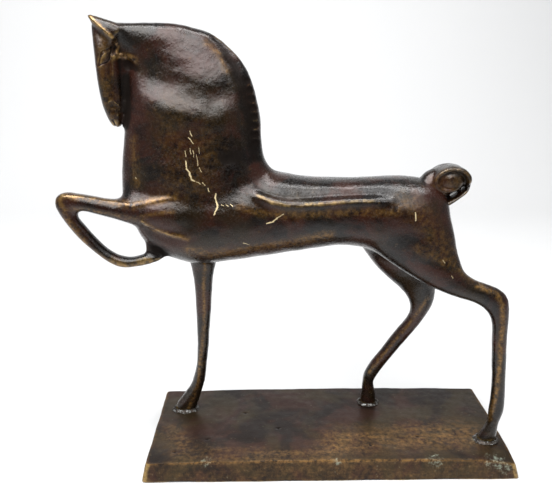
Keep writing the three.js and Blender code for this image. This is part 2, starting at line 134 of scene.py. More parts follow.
# %% Ribs of the trunk, neck and head
TRUNK = np.array([
    [-136.5, 176, -136, 171, 0, 3],
    [-133, 182, -129.5, 157, 0, 14],
    [-122, 185, -122, 142, 0, 19.5],
    [-107, 186, -107, 131.5, 0, 22.5],
    [-90, 187, -90, 126.4, 0, 23.5],
    [-65, 188, -65, 128.8, 0, 24],
    [-40, 188.5, -40, 132.3, 0, 23.5],
    [-15, 184.6, -15, 136.8, 0, 22.5],
    [10, 183.8, 9, 139, 0, 21.5],
    [30, 184.3, 27, 136, 0, 22.3],
    [50, 184.2, 45, 129, 0, 23],
    [64, 181.5, 62, 124, 0, 21.5],
    [75, 173, 75, 131, 0, 16],
    [80, 158, 79, 146, 0, 7],
])
NECK = np.array([
    [-133, 160, -36, 170, 0, 21],
    [-136.5, 175, -38, 188, 0, 20.5],
    [-136, 185, -43, 198, 0, 19.5],
    [-134.5, 197, -44.8, 211, 0, 18.5],
    [-132.5, 210, -45.8, 223, 0, 18],
    [-131, 220, -47.5, 233, 0, 17.5],
    [-129.5, 230, -50.5, 245, 0, 15.8],
    [-128, 240, -56, 256, 0, 13.2],
    [-127, 249, -64, 264.5, 0, 10.8],
    [-126.5, 256, -76, 273, 0, 9.2],
    [-127.5, 261, -92, 278, 0, 8.4],
    [-130, 265.5, -108, 279.2, 0, 7.4],
    [-133, 270, -124, 279, 0, 6.8],
])
HEAD = np.array([
    [-147, 279, -133.5, 277, 0, 5],
    [-146.7, 270, -132, 264.5, 0, 8.5],
    [-146.2, 260, -135.3, 258, 0, 9.5],
    [-146, 251, -136, 249.5, 0, 9],
    [-145.4, 240, -135, 239, 0, 8],
    [-144.2, 231, -133.5, 230, 0, 7],
    [-142, 223.5, -132, 223, 0, 6.2],
    [-139.5, 218.6, -133, 218.6, 0, 4.6],
    [-137, 216.8, -135, 216.8, 0, 2.5],
])
EAR = np.array([
    [-137, 264, -126, 276, -5.2, 5],
    [-141, 271, -131.5, 279.2, -5.2, 4.6],
    [-144.5, 277, -138.5, 281.4, -4.8, 3.3],
    [-148.4, 282.9, -147.2, 284.2, -3.8, 1.3],
])
POLL = np.array([
    [-140, 268, -136, 279.6, 0, 6],
    [-134, 268, -131.4, 279.2, 0, 7.0],
    [-126, 268, -125.6, 279.4, 0, 6.8],
    [-116, 268, -118, 278.6, 0, 6.4],
])
JAW = np.array([
    [-141, 264, -131.5, 262, 0, 7],
    [-141, 252, -131, 251, 0, 6.8],
    [-140, 240, -130.8, 240, 0, 6.2],
    [-139, 230, -130.6, 230, 0, 5.3],
    [-137, 222, -131, 222, 0, 4],
])
THROAT_WEB = np.array([
    [-139, 268, -121, 269, 0, 2.6],
    [-138, 260, -122, 261, 0, 2.6],
    [-138, 250, -124, 252, 0, 2.6],
    [-138, 240, -126, 240, 0, 2.6],
    [-137, 230, -127, 230, 0, 2.6],
    [-135, 222, -129, 222, 0, 2.2],
])
print("ribs of the body:", [len(r) for r in (TRUNK, NECK, HEAD, EAR, POLL, JAW, THROAT_WEB)])

# %% [markdown]
# Each leg starts well inside the trunk, where the skin will swallow its first ribs, and runs
# down to the sole. The raised foreleg runs round its loop and back to the chest.

# %% Ribs of the four legs
NEAR_FORE = np.array([
    [-78, 174, -82, 146, -13, 8.5],
    [-100, 175, -100, 148, -14.5, 10],
    [-118, 174.8, -118, 153.5, -14.5, 8.6],
    [-138, 173.6, -137, 159.8, -13.8, 6.6],
    [-150, 175, -149, 163.2, -13.5, 5.9],
    [-160, 176.8, -158, 165.6, -13.3, 5.6],
    [-169, 178, -162, 165, -13.2, 5.5],
    [-175, 175.5, -163.2, 163.6, -13, 5.4],
    [-176.8, 170.5, -163, 161.8, -13, 5.3],
    [-174.6, 164.5, -161.8, 159.6, -13, 5.1],
    [-169.5, 155.5, -159.4, 156.4, -12.9, 4.9],
    [-162, 145.6, -154.6, 150, -12.8, 4.8],
    [-153, 136.8, -147.6, 141.6, -12.6, 4.8],
    [-145, 130.4, -141.2, 136.8, -12.4, 4.8],
    [-138, 127.3, -135.8, 134.7, -12.2, 4.9],
    [-131, 127.2, -130.6, 134.2, -12, 4.9],
    [-124, 128.5, -125.4, 135.4, -12, 4.9],
    [-117, 130.3, -119.4, 136.8, -12, 4.6],
    [-110.5, 132.4, -112.4, 135.8, -12, 3.2],
])
TOE_WEDGE = np.array([
    [-121.4, 150, -121.2, 131, -10, 3],
    [-117, 150, -117, 131.6, -10, 4.6],
    [-111, 148, -111, 132.6, -9.5, 4.8],
    [-105, 146, -105, 135.5, -9, 4],
])
FAR_FORE = np.array([
    [-102, 150, -68, 150, 10, 11],
    [-99, 133, -73, 133, 12, 9],
    [-96.6, 122, -77.4, 122, 13, 6.6],
    [-95, 113, -80, 113, 13.5, 5.6],
    [-94.2, 100, -81.6, 100, 14.3, 5.2],
    [-94.2, 85, -82.9, 85, 15.2, 5],
    [-94.3, 70, -84.6, 70, 16.2, 4.8],
    [-94.7, 55, -86, 55, 17, 4.6],
    [-96, 40, -88, 40, 18, 4.6],
    [-98.8, 29, -89.6, 28, 18.7, 4.8],
    [-101.5, 21.5, -92, 19.5, 19.2, 4.7],
    [-107, 13.5, -95, 9.5, 19.8, 4.8],
    [-113, 5, -97.2, 3, 20.4, 5.2],
    [-114.6, 0, -98, 0, 20.6, 5.4],
])
NEAR_HIND = np.array([
    [24, 139, 75, 171, -8, 13.5],
    [42, 126, 80.2, 151.4, -11, 12.2],
    [58, 117, 83.2, 137.2, -13.6, 10.6],
    [72, 110.5, 87.2, 124.8, -16, 8.6],
    [84.5, 106, 95, 118.4, -17.5, 7],
    [95, 102.8, 104, 115.2, -18.6, 6],
    [102.6, 98, 112, 111.8, -19.5, 5.7],
    [107, 92, 117.4, 105.6, -20, 5.5],
    [108.8, 85, 118.9, 95, -20.4, 5.2],
    [109.4, 76, 119.2, 80, -20.8, 4.9],
    [110.6, 61, 120.3, 63, -21.4, 4.7],
    [112, 45, 121.3, 46, -22, 4.6],
    [112.4, 31, 122.2, 31, -22.3, 4.7],
    [111.8, 21, 122, 22.5, -22.6, 4.9],
    [112, 14, 119.6, 13.5, -22.8, 4.5],
    [108.4, 6.5, 119, 6, -23, 5],
    [105, 0, 118.8, 0, -23, 5.4],
])
FAR_HIND = np.array([
    [18, 142, 76, 166, 8, 13.5],
    [29, 124, 80, 140, 12, 11.5],
    [43.5, 109, 80, 118, 15.5, 9],
    [53.5, 99.5, 79.6, 104, 18.5, 7],
    [60.5, 90.5, 80.2, 93.5, 20, 6],
    [63, 81.5, 78.5, 84, 21, 5.6],
    [60.6, 73.5, 71.5, 70.5, 21.7, 5.1],
    [52, 61.5, 61.4, 56, 22.3, 4.8],
    [43.2, 47.5, 52, 42.5, 23, 4.6],
    [35.6, 36, 45.2, 32, 23.8, 4.7],
    [31.4, 26.5, 41.2, 25, 24.4, 4.9],
    [30.6, 20, 39.2, 19.5, 25, 4.6],
    [30.4, 11, 41, 11, 25.6, 5],
    [29.5, 4, 42, 3, 26, 5.4],
    [29.2, 0, 42.2, 0, 26, 5.5],
])
print("ribs of the legs:", [len(r) for r in (NEAR_FORE, TOE_WEDGE, FAR_FORE, NEAR_HIND, FAR_HIND)])

# %% [markdown]
# ## Lofting
#
# A loft is a function of two parameters: t runs along the ribs and the angle runs round
# each section. Sections are superellipses, a little squarer than an ellipse, which gives
# the flat-sided, hand-modelled look of the bronze.

# %% The loft
SQUARENESS = 2.2


def through_ribs(ribs, t):
    """Uniform Catmull-Rom: every column is a cubic through its own values, t counted in ribs."""
    padded = np.vstack([2 * ribs[0] - ribs[1], ribs, 2 * ribs[-1] - ribs[-2]])
    i = np.clip(np.floor(t).astype(int), 0, len(ribs) - 2)
    u = (t - i)[:, None]
    p0, p1, p2, p3 = (padded[i + k] for k in range(4))
    curve = 2 * p1 + (p2 - p0) * u
    curve = curve + (2 * p0 - 5 * p1 + 4 * p2 - p3) * u ** 2
    return 0.5 * (curve + (3 * p1 - p0 - 3 * p2 + p3) * u ** 3)


def loft(ribs, rings, sides, power=SQUARENESS):
    """Grid of points: middle + chord/2 * |cos|^(2/power) + half width * |sin|^(2/power)."""
    row = through_ribs(ribs, np.linspace(0, len(ribs) - 1, rings))
    a, b = row[:, [0, 1]], row[:, [2, 3]]
    angle = np.linspace(0, 2 * np.pi, sides, endpoint=False)
    along = np.sign(np.cos(angle)) * np.abs(np.cos(angle)) ** (2 / power)
    across = np.sign(np.sin(angle)) * np.abs(np.sin(angle)) ** (2 / power)
    side_view = (a + b)[:, None] / 2 + (b - a)[:, None] / 2 * along[None, :, None]
    y = row[:, 4, None] + row[:, 5, None] * across
    return np.stack([side_view[..., 0], y, side_view[..., 1]], axis=2)


def tube_faces(rings, sides, closed_rings=False):
    """Quads of a grid that closes round each ring, with a cap on each end unless it is a loop."""
    loops = rings if closed_rings else rings - 1
    i, k = np.meshgrid(np.arange(loops), np.arange(sides), indexing="ij")
    here, next_ring = i * sides, (i + 1) % rings * sides
    k1 = (k + 1) % sides
    quads = np.stack([here + k, here + k1, next_ring + k1, next_ring + k], axis=2)
    faces = quads.reshape(-1, 4).tolist()
    if not closed_rings:
        last = (rings - 1) * sides
        faces.append(list(range(sides))[::-1])
        faces.append([last + s for s in range(sides)])
    return faces


def mirrored(ribs):
    """The same ribs on the other side of the middle plane."""
    other = ribs.copy()
    other[:, 4] *= -1
    return other


print("loft of one ear:", loft(EAR, 40, 32).shape)

# %% [markdown]
# ## Fusing the limbs into one skin
#
# Lofts that run into each other leave hard creases, where the real casting flows from one
# form to the next. So the lofts are dropped into one mesh and Blender's voxel remesh lays
# a single even skin over all of them. Smoothing, strongest where a limb meets the body,
# turns the creases into the soft hollows of modelled wax. One level of subdivision then
# gives a surface that is smooth enough for sharp reflections.

# %% Mesh helpers
@contextmanager
def editing(mesh):
    """Opens a mesh for editing, and writes it back at the end."""
    shell = bmesh.new()
    shell.from_mesh(mesh)
    yield shell
    shell.to_mesh(mesh)
    shell.free()


def mesh_object(name, points, faces):
    """A mesh object from drawing points and faces, placed in the frame, normals outwards."""
    mesh = bpy.data.meshes.new(name)
    mesh.from_pydata(place(points).tolist(), [], faces)
    with editing(mesh) as shell:
        bmesh.ops.recalc_face_normals(shell, faces=shell.faces[:])
    mesh.shade_smooth()
    made = bpy.data.objects.new(name, mesh)
    bpy.context.scene.collection.objects.link(made)
    return made


def applied(piece):
    """Bakes the piece's modifiers into its mesh."""
    graph = bpy.context.evaluated_depsgraph_get()
    result = bpy.data.meshes.new_from_object(piece.evaluated_get(graph))
    piece.modifiers.clear()
    piece.data = result
    return piece


def read(items, field, width, kind=np.float32):
    """One field of every vertex or edge, as rows of `width` numbers."""
    flat = np.empty(len(items) * width, kind)
    items.foreach_get(field, flat)
    return flat.reshape(-1, width)


def read_points(mesh):
    """All vertices as an array of drawing millimetres."""
    return drawn(read(mesh.vertices, "co", 3))


def write_points(mesh, points):
    """Drawing millimetres back into the mesh."""
    mesh.vertices.foreach_set("co", place(points).astype(np.float32).ravel())
    mesh.update()


def read_normals(mesh):
    """Unit vertex normals as an array."""
    return read(mesh.vertex_normals, "vector", 3).astype(float)


def drop_points(mesh, unwanted):
    """Deletes the marked points and the faces on them."""
    with editing(mesh) as shell:
        loose = [v for v, gone in zip(shell.verts, unwanted) if gone]
        bmesh.ops.delete(shell, geom=loose, context="VERTS")


def relax(mesh, points, share, rounds):
    """Each round moves every point by its share of the way to the mean of its neighbours."""
    a, b = read(mesh.edges, "vertices", 2, np.int32).T
    one, two = np.concatenate([a, b]), np.concatenate([b, a])
    count = np.bincount(one, minlength=len(points))[:, None]
    for _ in range(rounds):
        total = np.stack([
            np.bincount(one, weights=points[two, axis], minlength=len(points))
            for axis in range(3)
        ], axis=1)
        points = points + share[:, None] * (total / count - points)
    return points


print("mesh helpers ready")

# %% [markdown]
# How far the wax is blended is a number at each point: high along the root of the neck, the
# haunches and the tops of the legs, and next to nothing on the limbs themselves.

# %% Where the wax is blended
def bump(distance, width):
    """A smooth hill: 1 at distance 0, fading to nothing past about twice the width."""
    return np.exp(-(distance / width) ** 2)


def to_path(points, path):
    """Distance in the side view from each point to a line of drawing points [x, z]."""
    flat = points[:, [0, 2]]
    path = np.asarray(path, float)
    best = np.full(len(flat), np.inf)
    for start, end in zip(path[:-1], path[1:]):
        run = end - start
        share = np.clip((flat - start) @ run / (run @ run), 0, 1)
        gap = np.linalg.norm(flat - start - share[:, None] * run, axis=1)
        best = np.minimum(best, gap)
    return best


NECK_ROOT = [(-134, 176), (-110, 172), (-85, 172), (-60, 176), (-44, 188), (-30, 188)]
HAUNCH = [(24, 134), (40, 140), (62, 150), (74, 160)]
THIGH_TOPS = [(28, 128), (50, 124), (70, 128)]
BLENDS = [
    (NECK_ROOT, 0.5, 11), (HAUNCH, 0.45, 12), (THIGH_TOPS, 0.4, 8),
    ([(-98, 128), (-74, 128)], 0.4, 7), ([(-128, 178), (-122, 160)], 0.3, 6),
    ([(-134, 270), (-127, 264)], 0.2, 4.5),
]
LEAST_BLEND, MOST_BLEND = 0.02, 0.55
BODY_VOXEL = 1.44
HEAD_VOXEL = 0.72
EVEN_ROUNDS, EVEN_SHARE = 6, 0.4
BLEND_ROUNDS = 70


def blend_share(points):
    """How strongly each point relaxes: a sum of soft bands along the listed lines."""
    share = sum(most * bump(to_path(points, line), width) for line, most, width in BLENDS)
    return np.clip(share, LEAST_BLEND, MOST_BLEND)


def fused(name, parts, voxel, blend_rounds, keep=None):
    """Lofts to one skin: join, voxel remesh, relax where forms meet, subdivide once.

    Rounds are given for a 1 mm mesh. A finer mesh needs more, as the square of its fineness.
    """
    points, faces = [], []
    for grid in parts:
        start = sum(len(p) for p in points)
        rings, sides = grid.shape[:2]
        points.append(grid.reshape(-1, 3))
        faces += [[start + v for v in face] for face in tube_faces(rings, sides)]
    skin = mesh_object(name, np.vstack(points), faces)
    remesh = skin.modifiers.new("skin", "REMESH")
    remesh.mode = "VOXEL"
    remesh.voxel_size = voxel * MM
    applied(skin)
    if keep:
        drop_points(skin.data, ~keep(read_points(skin.data)))
    rounds = int(round(blend_rounds / voxel ** 2))
    even = int(round(EVEN_ROUNDS / voxel ** 2))
    at = read_points(skin.data)
    at = relax(skin.data, at, np.full(len(at), EVEN_SHARE), even)
    at = relax(skin.data, at, blend_share(at), rounds)
    write_points(skin.data, at)
    finer = skin.modifiers.new("finer", "SUBSURF")
    finer.levels = finer.render_levels = 1
    applied(skin).data.shade_smooth()
    return skin


def in_head(points):
    """True where the fine skin is kept: the head, the throat and the poll."""
    return (points[:, 0] < -108) & (points[:, 2] > 196)


HEAD_PARTS = [
    loft(NECK, 90, 80), loft(HEAD, 60, 40), loft(JAW, 30, 24), loft(THROAT_WEB, 24, 24),
    loft(EAR, 40, 32), loft(mirrored(EAR), 40, 32), loft(POLL, 20, 32),
]
BODY_PARTS = [
    loft(TRUNK, 80, 64), loft(NEAR_FORE, 120, 32), loft(TOE_WEDGE, 20, 24),
    loft(FAR_FORE, 90, 32), loft(NEAR_HIND, 110, 32), loft(FAR_HIND, 100, 32),
]
body_skin = fused("horse_skin", HEAD_PARTS + BODY_PARTS, BODY_VOXEL, BLEND_ROUNDS)
head_skin = fused("head_skin", HEAD_PARTS, HEAD_VOXEL, BLEND_ROUNDS, keep=in_head)
print("skins:", len(body_skin.data.vertices), len(head_skin.data.vertices), "points")

# %% [markdown]
# ## The chaser's details
#
# Everything the chaser cut or left standing is a small push along the surface normal,
# computed for all points at once from their distance to lines in the side view: the mane
# groove and its notches, the crease under the jaw, the flute along the back, the almond eye,
# the nostril, the hollow of the ear, and the uneven, scraped surface of hand-worked wax.

# %% Lines of the details, measured from the table
SOLE = ORIGIN[2] / MM


def detail(*points):
    """Drawing points [x, z] from points measured up from the table."""
    return np.array(points, float) - [0, SOLE]


def step_up(value, low, high):
    """Smoothstep: 0 below low, 1 above high, and 3s^2 - 2s^3 between."""
    s = np.clip((value - low) / (high - low), 0, 1)
    return s * s * (3 - 2 * s)


VIEWER = np.array([-39.8, -388, 255.9])
BELLY = (104, 124)


def side_view(points):
    """Slides each point along the line of sight to the middle plane.

    Above the belly the far side is drawn as the mirror image of the near side. Below it the
    near and far legs are drawn each in its own place.
    """
    below_belly = 1 - step_up(points[:, 2], *BELLY)
    depth = -np.abs(points[:, 1]) + below_belly * (points[:, 1] + np.abs(points[:, 1]))
    return VIEWER + (points - VIEWER) * (VIEWER[1] / (VIEWER[1] - depth))[:, None]


MANE_RIDGE = detail(
    (-84, 288), (-77, 286), (-72, 281), (-68, 270), (-64, 262), (-61, 254), (-59.5, 244),
    (-58.5, 232), (-57, 222), (-55, 214),
)
MANE_GROOVE = detail(
    (-73, 285), (-66.5, 277), (-61, 268), (-57, 259), (-54, 249), (-52.6, 240), (-51.6, 230),
    (-50.4, 220), (-49.5, 212),
)
MANE_NOTCHES = detail(
    (-53.2, 260.5), (-51.4, 255), (-50.2, 249.5), (-49.6, 244), (-49.2, 238.5),
    (-48.8, 233), (-48.4, 227.5), (-48.2, 222),
)
THROAT = detail((-135.5, 274.6), (-131, 275.4), (-127, 274.8), (-122.5, 273))
EYE = detail(
    (-135.5, 280.5), (-142, 277.5), (-145, 269.5), (-139.5, 271.5), (-138, 273), (-135.5, 280.5),
)
EYE_LIDS = [
    detail((-143, 275), (-141, 277), (-136, 279.5)), detail((-139, 274), (-136, 278.5)),
    detail((-144, 270), (-140, 272)),
]
NOSTRIL = detail((-140.5, 248), (-138, 248.7), (-134.8, 246))
MOUTH = detail((-139, 236.5), (-137.3, 232.5))
CHEEK = detail((-136.5, 272), (-136.8, 262), (-137, 250), (-135.6, 240))
EAR_RIM = detail((-147.4, 297.4), (-141.7, 292), (-134.8, 285.6), (-132, 281), (-133, 276.6))
BACK_FLUTE = detail(
    (-48, 192), (-41, 189.4), (-30, 187.6), (-20, 187), (6, 188), (26, 188.5), (42, 188.5),
)
FLANK_RIDGE = detail(
    (-55, 189), (-50, 187.5), (-45, 185.4), (-38.5, 182.6), (-30, 180.8), (-20, 180.3),
    (0, 181.5), (20, 182.7), (41, 182.7),
)
NECK_LEDGE = detail((-112, 253), (-105, 250), (-96, 246), (-87, 244), (-77, 243), (-68, 246))
ARM_RIDGE = detail(
    (-176, 188), (-161, 187.2), (-142, 183.7), (-131, 181), (-119, 184), (-104, 186),
)
ARM_CREASE = detail((-125, 170), (-117, 164.6), (-107, 161), (-95, 158))
NECK_PLUG = detail((-65, 213.3))[0]
BACK_PLUG = detail((-20.7, 189.9))[0]
EYEBALL = detail((-140.6, 275.1))[0]
LIP = detail((-138, 244.5))[0]
print("lines of the details measured, soles at", round(SOLE, 1), "mm above the table")

# %% [markdown]
# A stroke of the chaser is a line, how far it pushes the surface (ridges up, grooves down),
# how wide it is, and the region it keeps to. Regions are soft masks between 0 and 1.

# %% Strokes
STROKES = [
    (MANE_GROOVE, -0.8, 4.5, "mane"), (MANE_RIDGE, 0.35, 2.6, "mane"),
    (THROAT, 0.7, 1.8, "throat"), (THROAT - [0, 5], -0.8, 3, "under_throat"),
    (NECK_LEDGE - [0, 8], 1.1, 8, "side"), (NECK_LEDGE + [0, 8], -1.1, 8, "side"),
    (EYE, -0.25, 0.4, "head"), *((lid, -0.18, 0.35, "head") for lid in EYE_LIDS),
    (NOSTRIL, 0.22, 0.6, "head"), (MOUTH, -0.5, 0.5, "muzzle"), (CHEEK, 0.25, 1.3, "head"),
    (EAR_RIM, 0.4, 1.0, "side"), (EAR_RIM - [3, 1.5], -0.5, 2.0, "side"),
    (BACK_FLUTE, -0.9, 3.2, "back"), (FLANK_RIDGE, 1.8, 3.3, "back"),
    (FLANK_RIDGE - [0, 8], -0.4, 4, "back"), (ARM_RIDGE, 0.45, 1.7, "arm"),
    (ARM_CREASE, 0.6, 1.5, "crease"), (ARM_CREASE - [0, 4], -0.7, 3, "under_crease"),
]
SPOTS = [(EYEBALL, 0.22, 2.4), (LIP, -0.4, 2)]
NOTCH_DEPTH, NOTCH_WIDTH = 0.5, 1.7
DENT_DEPTH, DENT_WIDTH = 0.6, 3.2
GRAIN = [(0.07, 13, 3), (0.035, 5.5, 4), (0.014, 2.6, 5)]
SWELL = (0.3, 27, 6)


def waves(points, size, seed, count=14):
    """Smooth unevenness: the mean of plane sine waves about `size` mm long, turned at random."""
    dice = np.random.default_rng(seed)
    heading = dice.normal(size=(count, 3))
    heading /= np.linalg.norm(heading, axis=1)[:, None]
    length = size * dice.uniform(0.7, 1.5, count)
    phase = dice.uniform(0, 2 * np.pi, count)
    wave = np.sin(points @ (heading * 2 * np.pi / length[:, None]).T + phase)
    return wave.sum(axis=1) / count ** 0.5


def spots(points, centres, radii):
    """The strongest bump of a row of round spots [x, z] in the side view."""
    flat = points[:, [0, 2]]
    return np.max([bump(np.linalg.norm(flat - c, axis=1), radii) for c in centres], axis=0)


def regions(points, normals, x, z):
    """Soft masks that keep each stroke to its own part of the horse."""
    side = step_up(np.abs(normals[:, 1]), 0.25, 0.7)
    near = step_up(-points[:, 1], 2, 6)
    chin = 1 - step_up(x, -126, -116)
    return {
        "side": side,
        "mane": step_up(z, 180, 192) * step_up(x, -124, -118) * step_up(-x, 30, 36) * side,
        "throat": side * chin,
        "under_throat": side * step_up(x, -131, -126) * chin,
        "head": step_up(-x, 130, 133.5) * side,
        "muzzle": step_up(-x, 133, 135),
        "back": side * step_up(x, -56, -44) * (1 - step_up(x, 22, 52)),
        "arm": near * (1 - step_up(x, -112, -98)),
        "crease": near * (1 - step_up(x, -104, -94)),
        "under_crease": near * (1 - step_up(x, -108, -94)),
    }


def chased(points, normals):
    """Push in mm along the normal: the sum of depth * exp(-(gap/width)^2) over all strokes."""
    seen = side_view(points)
    x, z = seen[:, 0], seen[:, 2]
    within = regions(points, normals, x, z)
    push = sum(
        depth * bump(to_path(seen, line), width) * within[region]
        for line, depth, width, region in STROKES
    )
    push -= NOTCH_DEPTH * spots(seen, MANE_NOTCHES, NOTCH_WIDTH) * within["mane"]
    for spot, depth, width in SPOTS:
        push += depth * spots(seen, [spot], width) * within["head"]
    dent = np.hypot((points[:, 0] - NECK_PLUG[0]) * 0.75, points[:, 2] - NECK_PLUG[1])
    push -= DENT_DEPTH * bump(dent, DENT_WIDTH) * within["side"]
    broad = step_up(z, 112, 128) * step_up(x, -133, -124)
    rough = sum(depth * waves(points, size, seed) for depth, size, seed in GRAIN)
    swell = SWELL[0] * waves(points, *SWELL[1:])
    return push + rough * (0.35 + 0.65 * broad) + swell * broad


def sculpt(mesh):
    """Applies the chaser's push to a mesh."""
    points, normals = read_points(mesh), read_normals(mesh)
    write_points(mesh, points + normals * chased(points, normals)[:, None])


print("strokes of the chaser:", len(STROKES))

# %% [markdown]
# ## Wear, wax and painted shade, read from the shape
#
# Hands rub the patina off whatever stands proud and wax gathers in whatever lies deep. The
# mesh already knows which is which: relax it, and points on ridges move in while points in
# hollows move out. Two attributes carry that to the shaders: `wear`, and one for the wax that
# also takes painted shade, black laid into recesses and under overhangs. A third, `gild`,
# holds the places where this particular bronze has gone golden brown.

# %% Attributes
WEAR_LIFT = 0.22
CAVITY_LIFT = 0.2
LEG_EDGE = detail(
    (104, 122), (118, 116), (122.5, 108), (124, 95), (125.4, 65), (125.6, 40), (123, 16),
)
ARM_FRONT = detail(
    (-179, 186), (-173, 168), (-161.6, 150.7), (-149, 140.6), (-135.6, 138.3), (-122, 142),
)
GILDED = [
    (detail((-60, 180), (-45, 175), (-20, 174), (15, 176), (45, 175)), 2.6, 0.6),
    (detail((-95, 150), (-80, 147), (-60, 149), (-30, 154), (0, 160)), 2.8, 0.8),
    (ARM_RIDGE, 2.4, 0.9), (ARM_RIDGE - [0, 9], 1.4, 0.6),
    (ARM_FRONT, 1.8, 1.0), (ARM_CREASE, 1.4, 1.1), (LEG_EDGE, 1.6, 1.3),
    (detail((-104, 236), (-100, 215), (-102, 196)), 12, 0.18),
    (detail((-80, 226), (-84, 208), (-86, 196)), 11, 0.22),
    (detail((-127, 225), (-127, 205), (-127, 195)), 2.5, 0.5),
    (THROAT, 1.6, 1.8), (EAR_RIM, 1.2, 1.8),
    (detail((-141, 284), (-141, 262), (-140, 240)), 5, 0.35),
    (detail((-78, 283), (-70, 276), (-66, 266)), 2.0, 0.5),
    (detail((-85.9, 138), (-86.5, 97), (-93.2, 49), (-100.7, 28)), 1.2, 1.0),
    (detail((69.8, 114), (59, 95.6), (41.8, 72.4), (31, 56.4)), 1.2, 1.0),
    (detail((60, 150), (80, 140), (100, 128), (112, 124)), 3, 0.45),
    (detail((50, 182), (62, 172), (72, 158), (82, 144)), 7, 0.35),
]
# Painted shade: black laid into recesses and under overhangs of the figure, in the mane groove,
# under the throat ridge, along the eye, in the slot between jaw and neck, on the chest under the
# raised hoof, along the flank at the arm's root and round the neck plug's dent. Each row is a line,
# its width and how black.
SHADE_AND_WAX_BANDS = [
    (MANE_GROOVE, 5.5, 0.75), (THROAT - [0, 6], 3.4, 0.5), (EYE, 0.4, 0.35),
    (detail((-128.5, 262), (-128.3, 250), (-129, 238), (-131, 232)), 2.2, 1.2),
    (detail((-119, 152), (-113, 150), (-110, 147)), 4.2, 0.9),
    (detail((-92, 172), (-70, 168), (-50, 168)), 4, 0.45),
    (detail((-68, 212), (-62, 213)), 5.2, 1.3),
]
# Painted shade in the mane's notches: how black, and how wide.
NOTCH_SHADE = (1.1, 2.3)


def set_attribute(mesh, name, values):
    """Stores one number per point on the mesh."""
    layer = mesh.attributes.new(name, "FLOAT", "POINT")
    layer.data.foreach_set("value", np.asarray(values, np.float32))


def bands(points, lines):
    """The sum of soft bands along the listed lines, as drawn in the side view."""
    seen = side_view(points)
    return sum(strength * bump(to_path(seen, path), width) for path, width, strength in lines)


def painted_shade_and_wax(points):
    """Painted shade and black wax at each point of the figure: soft bands, and the mane's notches.
    """
    strength, width = NOTCH_SHADE
    return bands(points, SHADE_AND_WAX_BANDS) + strength * spots(side_view(points), MANE_NOTCHES, width)


def mark_wear(mesh, rounds, gild, painted_shade=0.0):
    """wear, and wax with painted shade: how far relaxing moves each point in or out along its
    normal, plus the painted shade given.
    """
    points, normals = read_points(mesh), read_normals(mesh)
    smooth = relax(mesh, points, np.full(len(points), 0.5), rounds)
    lift = ((smooth - points) * normals).sum(axis=1)
    set_attribute(mesh, "wear", np.clip(-lift / WEAR_LIFT, 0, 1))
    set_attribute(mesh, "wax_and_shade", np.clip(lift / CAVITY_LIFT + painted_shade, 0, 1))
    set_attribute(mesh, "gild", np.broadcast_to(np.clip(gild, 0, 1.5), len(points)))


for skin, rounds in ((body_skin, 9), (head_skin, 36)):
    sculpt(skin.data)
    at = read_points(skin.data)
    mark_wear(skin.data, rounds, bands(at, GILDED), painted_shade_and_wax(at))
    print(skin.name, "sculpted and marked")

# %% [markdown]
# ## Cutting along the seams
#
# Each cut is a plane through two points of the side view that only touches one limb. The
# skin is sliced there, the two lips are parted and capped, and what comes loose is a leg,
# the head, the neck or the trunk: one closed casting for each CAD piece.

# %% The seams
SEAMS = {
    "near_foreleg": [(-141, 180), (-141, 155), (-145, -137, -30, 0, 140, 190)],
    "raised_hoof": [(-124, 128.5), (-125.4, 135.4), (-130, -121, -30, 0, 120, 141)],
    "far_foreleg": [(-100, 122), (-70, 122), (-104, -66, 3, 40, 118, 126)],
    "near_hind_leg": [(72, 110.5), (87.2, 124.8), (60, 104, -40, -2, 100, 136)],
    "far_hind_leg": [(43.5, 109), (80, 118), (35, 92, 3, 40, 98, 126)],
    "neck_casting": [(-140, 182), (-36, 192), (-136.9, -30, -40, 40, 178, 198)],
    "head": [(-133, 212.7), (-128.5, 280.7), (-136, -124, -30, 30, 215, 292)],
}
INSIDE = {
    "head": (-142, 0, 250), "neck_casting": (-90, 0, 240), "trunk_casting": (0, 0, 160),
    "near_foreleg": (-165, -13, 155), "far_foreleg": (-89, 15, 85),
    "near_hind_leg": (116, -21, 60), "far_hind_leg": (50, 22, 50),
}


def slice_skin(shell, start, end, reach):
    """Bisects the faces within reach by the plane through both points and parts the lips."""
    x0, x1, y0, y1, z0, z1 = reach
    run = np.subtract(end, start)
    normal = Vector((run[1], 0, -run[0])).normalized()
    on_plane = Vector(place([start[0], 0, start[1]]))
    low, high = place([x0, y0, z0]), place([x1, y1, z1])
    faces = []
    for face in shell.faces:
        c = face.calc_center_median()
        close = abs((c - on_plane).dot(normal)) < 2 * MM
        if close and all(low[k] < c[k] < high[k] for k in range(3)):
            faces.append(face)
    edges = list({e for f in faces for e in f.edges})
    corners = list({v for f in faces for v in f.verts})
    cut = bmesh.ops.bisect_plane(
        shell, geom=faces + edges + corners, dist=1e-7, plane_co=on_plane, plane_no=normal,
    )
    lips = [e for e in cut["geom_cut"] if isinstance(e, bmesh.types.BMEdge)]
    bmesh.ops.split_edges(shell, edges=lips)
    return len(lips)


def islands(count, pairs):
    """Label of the connected piece each point belongs to: lowest reachable point, by halving."""
    label = np.arange(count)
    while True:
        low = np.minimum(label[pairs[:, 0]], label[pairs[:, 1]])
        before = label.copy()
        np.minimum.at(label, pairs[:, 0], low)
        np.minimum.at(label, pairs[:, 1], low)
        label = label[label]
        if np.array_equal(label, before):
            return label


def cut_apart(skin, seams):
    """Slices at the seams, then labels every point with the loose casting it belongs to."""
    mesh = skin.data
    with editing(mesh) as shell:
        for name in seams:
            print("  cut", name, slice_skin(shell, *SEAMS[name]), "edges")
    return islands(len(mesh.vertices), read(mesh.edges, "vertices", 2, np.int32))


